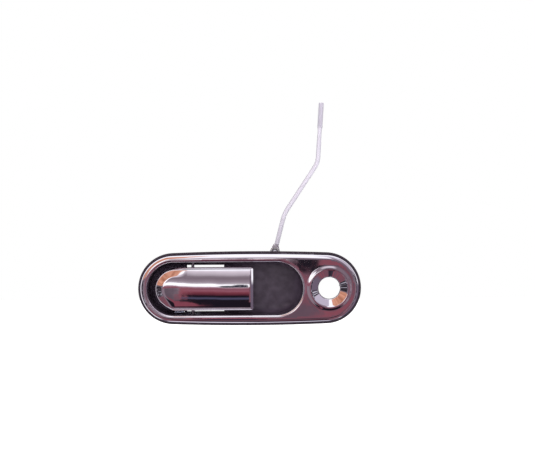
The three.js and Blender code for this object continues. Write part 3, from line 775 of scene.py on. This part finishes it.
def make_housing():
    """The finger bowl with its flange, lock sleeve, bosses, slots and bores."""
    piece = make_tub()
    front_x, _ = middle_of("mounting_stud_front")
    rear_x, _ = middle_of("mounting_stud_rear")
    rivet_x, rivet_z = middle_of("crank_rivet")
    boss = 5 * MM
    boss_face = housing_high.y
    for tool in (
        lock_sleeve(),
        round_tool(front_x, 0, boss, BOWL_FLOOR + 1 * MM, boss_face),
        round_tool(rear_x, 0, boss, FLANGE_REAR - 1 * MM, boss_face),
        round_tool(rivet_x, rivet_z, 6 * MM, BOWL_FLOOR + 1 * MM, 24.7 * MM),
    ):
        apply_tool(piece, tool, "UNION")
    stud_bore = 3.2 * MM
    bore_end = 27 * MM
    cuts = [
        lock_bore(),
        round_tool(front_x, 0, stud_bore, 22.4 * MM, bore_end),
        round_tool(rear_x, 0, stud_bore, 4 * MM, bore_end),
        round_tool(rivet_x, rivet_z, 2.8 * MM, 12 * MM, 26 * MM),
    ]
    cuts += floor_windows()
    cuts += [retainer_slot(), hinge_bore()]
    for index in range(1, 5):
        x, z = middle_of(f"bezel_screw_{index}")
        cuts.append(round_tool(x, z, 2 * MM, FLANGE_REAR - 1.4 * MM, 0, 32))
    for tool in cuts:
        apply_tool(piece, tool, "DIFFERENCE")
    settle(piece, BOWL_PLASTIC, "handle_body", ["housing"], 40)


# ---------- paddle ----------


def rim_sink(inset):
    """How far the sloped border round the paddle lies below its face."""
    past = RIM_WIDTH - inset
    slope = RIM_SLOPE * (past + math.hypot(past, RIM_BLEND)) / 2
    corner = 0.12 * MM * max(1 - inset / RIM_BLEND, 0) ** 2
    return slope + corner


def paddle_face(x, z):
    """Y of the paddle's front: a crown across its height, and a nose that falls away at its left end."""
    crown = PADDLE_CROWN_RADIUS - math.sqrt(max(PADDLE_CROWN_RADIUS**2 - z * z, 0))
    most = PADDLE_CROWN_RADIUS - math.sqrt(PADDLE_CROWN_RADIUS**2 - PADDLE_RADIUS**2)
    inset = PADDLE_RADIUS - math.hypot(min(x - PADDLE_LEFT_CENTRE, 0), z)
    past = NOSE_LENGTH - inset
    fall = NOSE_SLOPE * (past + math.hypot(past, NOSE_BLEND)) / 2
    # the nose runs further along the upper side than along the lower
    upper = smooth_step(-6 * MM, 8 * MM, z)
    fade_start = PADDLE_LEFT_CENTRE + (8 * upper - 16) * MM
    fade_end = PADDLE_LEFT_CENTRE + 12 * upper * MM
    share = 1 - smooth_step(fade_start, fade_end, x)
    return PADDLE_CREST + crown + fall * share * (1 - 0.35 * crown / most)


def make_paddle_cover():
    """The chrome pull as one thin shell: its skirt, its face ring by ring inward, and its back."""
    bm = bmesh.new()
    rings = [ring_at(bm, paddle_outline(0), PADDLE_SKIRT)]

    def face_ring(inset, depth=0.0):
        lowest = PADDLE_SKIRT - 0.2 * MM
        sunk = rim_sink(inset) + depth
        return ring_at(bm, paddle_outline(inset), lambda x, z: min(paddle_face(x, z) + sunk, lowest))

    rim_steps = 24
    rim_end = 1.3 * RIM_WIDTH
    for step in range(rim_steps + 1):
        rings.append(face_ring(rim_end * (step / rim_steps) ** 1.3))
    face_steps = 48
    for step in range(1, face_steps + 1):
        rings.append(face_ring(rim_end + (PADDLE_RADIUS - rim_end - TINY) * step / face_steps))
    back_steps = 12
    for step in range(back_steps, -1, -1):
        inset = PADDLE_WALL + (PADDLE_RADIUS - PADDLE_WALL - TINY) * step / back_steps
        rings.append(face_ring(inset, PADDLE_WALL))
    rings.append(ring_at(bm, paddle_outline(PADDLE_WALL), PADDLE_SKIRT))
    skin(bm, rings, closed=True)
    weld = 0.004 * MM
    bmesh.ops.remove_doubles(bm, verts=bm.verts, dist=weld)
    seam = [face for face in bm.faces if all(abs(vert.co.z) < weld for vert in face.verts)]
    bmesh.ops.delete(bm, geom=seam, context="FACES")
    piece_from(bm, "paddle_shell", CHROME, "paddle", ["paddle_cover"], 60)


# ---------- rod, studs and nuts ----------

AXIS_X = Vector((1, 0, 0))
AXIS_Y = Vector((0, 1, 0))
AXIS_Z = Vector((0, 0, 1))


def thread_profile(turn):
    """Depth of a metric thread, 0 at the root and 1 at the crest, over one turn of its pitch."""
    place = turn % 1.0
    flank = 0.38
    if place < 0.5:
        return min(place / flank, 1.0)
    return max(1 - (place - 0.5) / flank, 0.0)


def threaded_ring(bm, centre, side, up, radius, depth, travel, steps):
    """One ring of a thread, at a distance of travel from its start; depth 0 gives a plain ring."""

    def place(angle):
        turn = travel / THREAD_PITCH - angle / math.tau
        reach = radius - depth * (1 - thread_profile(turn))
        return centre + reach * (math.cos(angle) * side + math.sin(angle) * up)

    return ring_round(bm, steps, place)


def trim_ring(ring, centre, limit):
    """Moves the points of a ring that lie beyond limit from its centre back to it."""
    for vert in ring:
        offset = vert.co - centre
        if offset.length > limit:
            vert.co = centre + offset.normalized() * limit


def close_tube(bm, rings, start, end):
    """Skins the rings, and closes both ends with triangles that meet at start and end."""
    skin(bm, rings)
    for ring, centre in ((rings[0], start), (rings[-1], end)):
        middle = bm.verts.new(centre)
        for index, vert in enumerate(ring):
            bm.faces.new((vert, ring[(index + 1) % len(ring)], middle))


def bent_path(corners, reaches, spacing):
    """Points along straight wire; each inner corner is rounded over its reach to both sides."""
    bend = 12
    points = []
    start = corners[0]
    for corner, after, reach in zip(corners[1:], corners[2:], reaches):
        into = corner + (start - corner).normalized() * reach
        out = corner + (after - corner).normalized() * reach
        count = max(int((into - start).length / spacing), 1)
        points += [start.lerp(into, step / count) for step in range(count)]
        for step in range(bend):
            share = step / bend
            points.append(into.lerp(corner, share).lerp(corner.lerp(out, share), share))
        start = out
    count = max(int((corners[-1] - start).length / spacing), 1)
    points += [start.lerp(corners[-1], step / count) for step in range(count + 1)]
    return points


def make_link_rod():
    """Bent steel rod: a hook into the crank, a neck slightly flattened in the press, and a thread."""
    radius = 2.25 * MM
    thread_radius = 2.75 * MM
    thread_length = 26 * MM
    neck_length = 13 * MM
    steps = 32
    plane = rod_high.y - thread_radius
    hook = Vector((24.9 * MM, plane, 34 * MM))
    upper_bend = Vector((68.7 * MM, plane, 123.8 * MM))
    top = Vector((72.7 * MM, plane, 184 * MM))
    along = (top - upper_bend).normalized()
    shank_end = top - along * thread_length
    hook_end = Vector((hook.x, rod_low.y, hook.z))
    lower_bend = Vector((34.6 * MM, plane, 72.2 * MM))
    corners = [hook_end, hook, lower_bend, upper_bend, shank_end]
    path = bent_path(corners, [3.4 * MM, 7 * MM, 6 * MM], 1.5 * MM)
    bm = bmesh.new()
    rings = []
    for index, (point, side, up) in enumerate(frames_along(path, AXIS_X)):
        flat = 1.0
        above = (shank_end - point).length
        if index > len(path) / 2 and above < neck_length:
            flat = 1 - 0.1 * smooth_step(0, 2 * MM, above) * smooth_step(0, 2 * MM, neck_length - above)
        rings.append(ring_round(bm, steps, lambda angle: point + radius * (
            flat * math.cos(angle) * side + math.sin(angle) * up
        )))
    chamfered = [bm.verts.new(path[0] + (vert.co - path[0]) * 0.8) for vert in rings[0]]
    for vert in rings[0]:
        vert.co.y += 0.5 * MM
    rings.insert(0, chamfered)
    # the thread goes on from the last ring's directions
    side = (side - side.dot(along) * along).normalized()
    up = along.cross(side)
    count = int(thread_length / THREAD_PITCH * 10)
    for step in range(count + 1):
        travel = thread_length * step / count
        centre = shank_end + along * travel
        runout = smooth_step(0, 1.5 * THREAD_PITCH, travel)
        outer = radius + (thread_radius - radius) * runout
        ring = threaded_ring(bm, centre, side, up, outer, THREAD_DEPTH * runout, travel, steps)
        tip = smooth_step(0, 0.9 * THREAD_PITCH, thread_length - travel)
        if tip < 1:
            trim_ring(ring, centre, thread_radius - TIP_CHAMFER * (1 - tip))
        rings.append(ring)
    close_tube(bm, rings, path[0], top)
    piece_from(bm, "latch_rod", ROD_STEEL, "rod", ["link_rod"], 42)


def make_stud(name, node):
    """Stud with a plain shank and a threaded rear end."""
    low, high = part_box(node)
    x, _ = middle_of(node)
    radius = (high.x - low.x) / 2
    shank_radius = radius - 0.25 * MM
    thread_start = 26.5 * MM
    thread_length = high.y - thread_start
    steps = 36
    bm = bmesh.new()
    rings = [
        threaded_ring(bm, Vector((x, y, 0)), AXIS_X, AXIS_Z, shank_radius, 0, 0, steps)
        for y in (low.y, thread_start)
    ]
    count = int(thread_length / THREAD_PITCH * 8)
    for step in range(count + 1):
        travel = thread_length * step / count
        centre = Vector((x, thread_start, 0)) + AXIS_Y * travel
        ring = threaded_ring(bm, centre, AXIS_X, AXIS_Z, radius, THREAD_DEPTH, travel, steps)
        tip = smooth_step(0, THREAD_PITCH, thread_length - travel)
        trim_ring(ring, centre, radius - TIP_CHAMFER * (1 - tip))
        rings.append(ring)
    close_tube(bm, rings, Vector((x, low.y, 0)), Vector((x, high.y, 0)))
    piece_from(bm, name, STEEL, "handle_body", [node], 42)


def make_nut(name, node):
    """Hexagon nut with both faces chamfered and a countersunk bore."""
    low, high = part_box(node)
    x, _ = middle_of(node)
    flat = (high.z - low.z) / 2
    bore = 3.1 * MM
    sink = 0.5 * MM
    height = high.y - low.y
    steps = 96

    def reach(angle, depth):
        folded = (angle + math.pi / 6) % (math.pi / 3) - math.pi / 6
        hexagon = flat / math.cos(math.pi / 6 - abs(folded))
        chamfer = flat * 0.97 + depth / math.tan(math.radians(30))
        return min(hexagon, chamfer)

    bm = bmesh.new()
    rings = []
    levels = [level * MM for level in (0, 0.15, 0.3, 0.5, 0.75, 1.0)]
    for depth in levels + [height - level for level in reversed(levels)]:

        def place(angle):
            radius = reach(angle, min(depth, height - depth))
            return x + radius * math.cos(angle), low.y + depth, radius * math.sin(angle)

        rings.append(ring_round(bm, steps, place))
    for radius, y in (
        (bore + sink, high.y), (bore, high.y - sink), (bore, low.y + sink), (bore + sink, low.y),
    ):
        rings.append(ring_at(bm, arc_points(x, 0, radius, 0, math.tau, steps), y))
    skin(bm, rings, closed=True)
    piece_from(bm, name, STEEL, "handle_body", [node], 25)


def make_screw(name, node, body):
    """Pan-head screw, its head to the rear, with a six-lobed recess."""
    low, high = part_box(node)
    x, z = middle_of(node)
    head = (high.x - low.x) / 2
    shank = 1.2 * MM
    root = shank - 0.25 * MM
    head_height = 1.1 * MM if head < 2 * MM else 1.6 * MM
    seat = high.y - head_height
    profile = [(TINY, low.y), (0.5 * MM, low.y + 0.1 * MM), (shank, low.y + 1 * MM)]
    thread_start = low.y + 1.2 * MM
    ridges = 12
    for index in range(ridges):
        radius = shank if index % 2 else root
        profile.append((radius, thread_start + (seat - low.y - 1.6 * MM) * index / ridges))
    profile += [(shank, seat), (head, seat)]
    profile += [
        (head - 0.35 * head * (1 - math.cos(angle)), seat + head_height * (0.4 + 0.6 * math.sin(angle)))
        for angle in [math.pi / 2 * index / 5 for index in range(6)]
    ]
    recess = len(profile)
    recess_floor = seat + 0.3 * MM
    profile += [(head * 0.5, high.y), (head * 0.46, high.y - 0.1 * MM), (head * 0.44, recess_floor)]
    profile += [(TINY, recess_floor)]

    def lobes(angle, index):
        return 1 + 0.14 * math.cos(6 * angle) if recess <= index < recess + 3 else 1

    bm = bmesh.new()
    turned(bm, x, z, profile, 48, lobes)
    piece_from(bm, name, STEEL, body, [node], 30)


def make_return_spring():
    """Torsion spring round the hinge pin, one leg on the carrier and one on the bowl's floor."""
    pin_low, pin_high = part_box("hinge_pin")
    centre = (pin_low + pin_high) / 2
    carrier_rear = -3 * MM
    wire = 0.6 * MM
    clearance = wire + 0.3 * MM
    coil = 3.5 * MM
    turns = 8.3
    half = 7 * MM
    leg_z = half + 0.6 * MM
    count = int(turns * 40)
    points = []
    for index in range(count + 1):
        share = index / count
        angle = -math.pi / 4 + share * turns * math.tau
        points.append(Vector((
            centre.x + coil * math.cos(angle), centre.y + coil * math.sin(angle), half * (2 * share - 1),
        )))
    first = Vector((-70 * MM, carrier_rear + clearance, -leg_z))
    last = Vector((-72 * MM, BOWL_FLOOR - clearance, leg_z))
    leg = 12
    points = [first.lerp(points[0], step / leg) for step in range(leg)] + points
    points += [points[-1].lerp(last, step / leg) for step in range(1, leg + 1)]
    bm = bmesh.new()
    rings = [
        threaded_ring(bm, point, side, up, wire, 0, 0, 16)
        for point, side, up in frames_along(points, AXIS_Z)
    ]
    close_tube(bm, rings, points[0], points[-1])
    piece_from(bm, "torsion_spring", SPRING_STEEL, "handle_body", ["return_spring"], 60)


# ---------- castings, stampings and small turned pieces ----------


def make_softened(name, node, material, body, edge):
    """The CAD node's shape with its edges broken by a small rounding."""
    bm = bmesh.new()
    bm.from_mesh(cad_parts[node].data)
    bmesh.ops.remove_doubles(bm, verts=bm.verts, dist=1e-6)
    bmesh.ops.dissolve_limit(bm, angle_limit=math.radians(1), verts=bm.verts, edges=bm.edges)
    sharp = [
        item for item in bm.edges
        if len(item.link_faces) == 2 and item.calc_face_angle() > math.radians(35)
    ]
    bmesh.ops.bevel(
        bm, geom=sharp, offset=edge, offset_type="OFFSET", segments=3, profile=0.5,
        affect="EDGES", clamp_overlap=True,
    )
    piece_from(bm, name, material, body, [node], 40)


# ---------- the room that the chrome mirrors ----------

# White light comes from all round, and only reflections show the room: a pale ceiling overhead, a white
# band just above eye level, and dark and maroon furniture below it. Its parts are placed by azimuth and
# elevation in degrees, seen from the object: 0, 0 is straight out from the door, left is negative and
# up is positive. OFF_AXIS is the angle from that direction.

world = bpy.data.worlds.new("studio")
bpy.context.scene.world = world
world.use_nodes = True
ROOM = world.node_tree
ROOM.nodes.clear()
DIRECTION = ROOM.nodes.new("ShaderNodeTexCoord").outputs["Generated"]


def reckon(operation, *values):
    return add_node(ROOM, "ShaderNodeMath", dict(enumerate(values)), operation=operation).outputs[0]


def times(first, second):
    return reckon("MULTIPLY", first, second)


def in_degrees(angle):
    return times(angle, 180 / math.pi)


def room_noise(scale, detail):
    return add_noise(ROOM, DIRECTION, scale, detail)


def rise(value, low, high):
    """0 at low and 1 at high, with an even rise in between."""
    values = {"Value": value, "From Min": low, "From Max": high}
    return add_node(ROOM, "ShaderNodeMapRange", values, interpolation_type="SMOOTHSTEP").outputs["Result"]


def paint(under, mask, colour):
    """Lays a colour over another where the mask is 1."""
    over = colour if hasattr(colour, "is_linked") else (*colour, 1)
    return add_node(ROOM, "ShaderNodeMix", {0: mask, 6: under, 7: over}, data_type="RGBA").outputs[2]


def between(value, low, high, soft):
    """1 from low to high and 0 outside; each edge fades over twice soft."""
    return times(rise(value, low - soft, low + soft), rise(value, high + soft, high - soft))


def window(left, right, low, high, soft):
    """1 inside a rectangle of azimuth and elevation, and 0 outside."""
    return times(between(AZIMUTH, left, right, soft), between(ELEVATION, low, high, soft))


def halo(inner, outer):
    """1 between two angles from straight out, each given as where it is 0 and where it is 1."""
    return times(rise(OFF_AXIS, *inner), rise(OFF_AXIS, *outer))


split = add_node(ROOM, "ShaderNodeSeparateXYZ", {0: DIRECTION}).outputs
TOWARD = times(split["Y"], -1.0)
BROAD = reckon("SUBTRACT", room_noise(9, 2), 0.5)
FINE = reckon("SUBTRACT", room_noise(46, 3), 0.5)
RAISED_BY = in_degrees(reckon("ARCSINE", split["Z"]))
AZIMUTH = reckon("ADD", in_degrees(reckon("ARCTAN2", split["X"], TOWARD)), times(FINE, 0.8))
ELEVATION = reckon("ADD", RAISED_BY, reckon("ADD", times(BROAD, 1.6), times(FINE, 1.3)))
OFF_AXIS = in_degrees(reckon("ARCCOSINE", TOWARD))

WHITE = (1.0, 0.98, 1.0)
BLACK = (0.010, 0.007, 0.012)
DUSKY_BLUE = (0.025, 0.024, 0.038)
MAUVE = add_ramp(ROOM, room_noise(15, 3), (0.42, (0.136, 0.093, 0.119)), (0.56, (0.230, 0.170, 0.204)))
MAROON = add_ramp(ROOM, room_noise(22, 3), (0.42, (0.111, 0.068, 0.089)), (0.56, (0.212, 0.064, 0.085)))
SKIN_TONE = add_ramp(ROOM, room_noise(6, 2), (0.35, (0.306, 0.111, 0.064)), (0.6, (0.612, 0.289, 0.196)))
STREAKS = add_ramp(
    ROOM,
    room_noise(13, 4),
    (0.40, (0.010, 0.009, 0.012)),
    (0.50, (0.064, 0.051, 0.064)),
    (0.56, (0.017, 0.012, 0.017)),
    (0.64, (0.468, 0.442, 0.510)),
)


def room_by_height():
    """The room from its floor to its ceiling, with its lines bent up at the left and down at the right."""
    raised_left = times(rise(AZIMUTH, -4.6, -7.2), -3.4)
    lowered_right = times(rise(AZIMUTH, -4.2, -2.6), 1.2)
    bent = reckon("ADD", ELEVATION, reckon("ADD", raised_left, lowered_right))
    stops = (
        (-90, (0.84, 0.78, 0.88)),
        (-79, (0.78, 0.72, 0.83)),
        (-75, (0.085, 0.064, 0.093)),
        (-66, (0.047, 0.034, 0.051)),
        (-56, BLACK),
        (-48, (0.119, 0.038, 0.051)),
        (-41, (0.145, 0.085, 0.111)),
        (-37, BLACK),
        (-21, BLACK),
        (-19, (0.064, 0.064, 0.111)),
        (-17.5, (0.051, 0.047, 0.081)),
        (-16, BLACK),
        (-14, BLACK),
        (-13, (0.072, 0.015, 0.025)),
        (-9, (0.170, 0.038, 0.055)),
        (-6, (0.255, 0.089, 0.119)),
        (-3.5, (0.187, 0.060, 0.085)),
        (-1, (0.281, 0.136, 0.170)),
        (0.0, (0.612, 0.527, 0.578)),
        (0.6, WHITE),
        (4.6, WHITE),
        (5.6, (0.391, 0.340, 0.374)),
        (8.5, (0.255, 0.204, 0.238)),
        (14, (0.174, 0.132, 0.157)),
        (17, (0.204, 0.162, 0.187)),
        (21, (0.442, 0.383, 0.425)),
        (26, (0.595, 0.518, 0.570)),
        (32, (0.86, 0.82, 0.88)),
        (60, (0.96, 0.95, 0.99)),
    )
    place = reckon("DIVIDE", reckon("ADD", bent, 90.0), 180.0)
    return add_ramp(ROOM, place, *(((height + 90) / 180, colour) for height, colour in stops))


def left_furniture():
    """Masks and colours of what stands to the left, with one leaning streak and one low one."""
    lean = reckon("SUBTRACT", AZIMUTH, times(ELEVATION, 0.041))
    under_band = rise(ELEVATION, -1.0, -2.0)
    mauve_levels = times(under_band, rise(ELEVATION, -26.0, -20.0))
    streak = times(rise(lean, -5.75, -5.5), rise(lean, -4.85, -5.1))
    streak_levels = times(under_band, rise(ELEVATION, -21.5, -19.5))
    low_streak = reckon("ADD", RAISED_BY, times(AZIMUTH, 4.6))
    low_band = times(rise(low_streak, -50.8, -52.4), rise(RAISED_BY, -33.0, -32.0))
    low_sides = times(rise(AZIMUTH, -4.6, -5.6), rise(AZIMUTH, -9.0, -7.5))
    return [
        (times(rise(lean, -5.2, -5.5), mauve_levels), (0.212, 0.157, 0.187)),
        (times(streak, streak_levels), (0.230, 0.068, 0.089)),
        (window(-9, -6.2, -24, -1.5, 0.5), (0.105, 0.075, 0.095)),
        (times(low_band, low_sides), (0.196, 0.051, 0.072)),
    ]


def panels():
    """Masks and colours of the panels in front and to both sides."""
    return [(window(*bounds), colour) for bounds, colour in (
        ((-0.3, 26, -26, -0.6, 0.6), MAROON),
        ((1.0, 26, -1.0, 19, 0.8), (0.128, 0.093, 0.119)),
        ((3.8, 9.5, -4, 3.6, 0.7), MAROON),
        ((1.7, 3.7, -2.0, 3.6, 0.35), (0.012, 0.009, 0.014)),
        ((-3.1, -1.15, -1.2, 1.2, 0.35), DUSKY_BLUE),
        ((-2.35, -1.15, -1.2, 3.3, 0.3), DUSKY_BLUE),
        ((-36, -12.5, 3, 38, 1.0), WHITE),
        ((-200, -22, -72, 12, 4), MAUVE),
        ((24, 200, -72, 24, 4), MAUVE),
        ((13, 80, 10, 56, 3), (0.178, 0.128, 0.157)),
    )]


def surroundings():
    """Masks and colours of what the rounded edges mirror, far off to the sides and behind."""
    wide = halo((42, 47), (70, 66))
    return [(times(wide, window(*bounds)), colour) for bounds, colour in (
        ((24, 200, -28, 20, 3), STREAKS),
        ((-200, -22, -28, 9, 3), STREAKS),
        ((14, 200, -72, -27, 2), MAROON),
        ((-200, -14, -72, -27, 2), MAROON),
        ((10, 80, 20, 66, 2), (0.476, 0.425, 0.510)),
    )] + [
        (times(halo((33, 38), (70, 66)), window(-66, -9, 10, 62, 1.5)), SKIN_TONE),
        (times(rise(OFF_AXIS, 75, 79), rise(RAISED_BY, -66, -60)), (0.93, 0.91, 0.95)),
        (window(55, 120, -60, 3, 4), (0.128, 0.098, 0.136)),
        (rise(OFF_AXIS, 89, 93), (0.038, 0.027, 0.041)),
    ]


def light_world():
    """Shows the room to reflections, and plain white to everything else."""
    room = room_by_height()
    for mask, colour in left_furniture() + panels() + surroundings():
        room = paint(room, mask, colour)
    reflected = add_node(ROOM, "ShaderNodeBackground", {"Color": room, "Strength": 1.3})
    backdrop = add_node(ROOM, "ShaderNodeBackground", {"Color": (1, 1, 1, 1), "Strength": 1.0})
    glossy = ROOM.nodes.new("ShaderNodeLightPath").outputs["Is Glossy Ray"]
    inputs = {0: glossy, 1: backdrop.outputs[0], 2: reflected.outputs[0]}
    choice = add_node(ROOM, "ShaderNodeMixShader", inputs)
    add_node(ROOM, "ShaderNodeOutputWorld", {"Surface": choice.outputs[0]})


# ---------- lights, camera and floor ----------

CAMERA_LENS = 58.9
CAMERA_TILT = math.radians(-0.34)
CAMERA_PLACE = (17.7 * MM, -850 * MM, 57.8 * MM)


def make_floor():
    """A large pale floor well below the object, which the polished faces don't mirror."""
    bm = bmesh.new()
    bmesh.ops.create_grid(bm, x_segments=1, y_segments=1, size=4)
    floor = object_from(bm, "floor")
    floor.location.z = cad_bounds[0][2] - 0.3
    material, _, _ = new_material("pale_floor", {
        "Base Color": (0.93, 0.93, 0.93, 1),
        "Roughness": 0.9,
        "Emission Color": (1, 1, 1, 1),
        "Emission Strength": 0.6,
    })
    floor.data.materials.append(material)
    floor.visible_glossy = False


def add_area_light(name, place, size, watts):
    """A round soft light, in metres and watts, that shines on the handle and isn't mirrored in it."""
    data = bpy.data.lights.new(name, "AREA")
    data.shape = "DISK"
    data.size = size
    data.energy = watts
    light = bpy.data.objects.new(name, data)
    bpy.context.scene.collection.objects.link(light)
    light.location = place
    light.rotation_euler = (-Vector(place)).to_track_quat("-Z", "Y").to_euler()
    light.visible_glossy = False


def make_camera():
    """Straight on from in front of the door, with a very slight tilt."""
    data = bpy.data.cameras.new("camera")
    data.sensor_width = 36
    data.lens = CAMERA_LENS
    camera = bpy.data.objects.new("camera", data)
    bpy.context.scene.collection.objects.link(camera)
    tilt = Matrix.Rotation(CAMERA_TILT, 4, "Z")
    look = Matrix.Rotation(math.radians(90), 4, "X")
    camera.matrix_world = Matrix.Translation(CAMERA_PLACE) @ look @ tilt
    bpy.context.scene.camera = camera


make_camera()
light_world()
make_floor()
add_area_light("key", (-0.4, -1.2, 1.1), 0.7, 9)
add_area_light("fill", (0.7, -1.1, 0.3), 0.8, 4)
add_area_light("front", (0.05, -1.0, 0.2), 0.3, 3)
bpy.context.scene.view_settings.view_transform = "Standard"

make_gasket()
make_bezel()
make_housing()
make_paddle_cover()
make_link_rod()
for end in ("front", "rear"):
    make_stud(f"stud_{end}", f"mounting_stud_{end}")
for end in ("front", "rear"):
    make_nut(f"nut_{end}", f"mounting_nut_{end}")
for number in range(1, 5):
    make_screw(f"trim_screw_{number}", f"bezel_screw_{number}", "handle_body")
for number in range(1, 3):
    make_screw(f"carrier_screw_{number}", f"cover_screw_{number}", "paddle")
make_return_spring()
make_softened("carrier_casting", "paddle_carrier", CAST_ZINC, "paddle", 0.4 * MM)
make_softened("crank_plate", "bell_crank", STEEL, "crank", 0.3 * MM)
make_softened("stop_bumper", "closed_stop_bumper", GREY_RUBBER, "handle_body", 0.8 * MM)
make_softened("retainer", "lock_retainer_clip", SPRING_STEEL, "handle_body", 0.12 * MM)

for material, nodes in (
    (STEEL, ("hinge_pin", "crank_rivet", "crank_washer")),
    (SPRING_STEEL, ("hinge_clip_upper", "hinge_clip_lower", "rod_clip")),
    (ACETAL, ("hinge_bushing_upper", "hinge_bushing_lower", "crank_bushing", "rod_bushing")),
):
    for node in nodes:
        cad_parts[node].material_slots[0].material = material
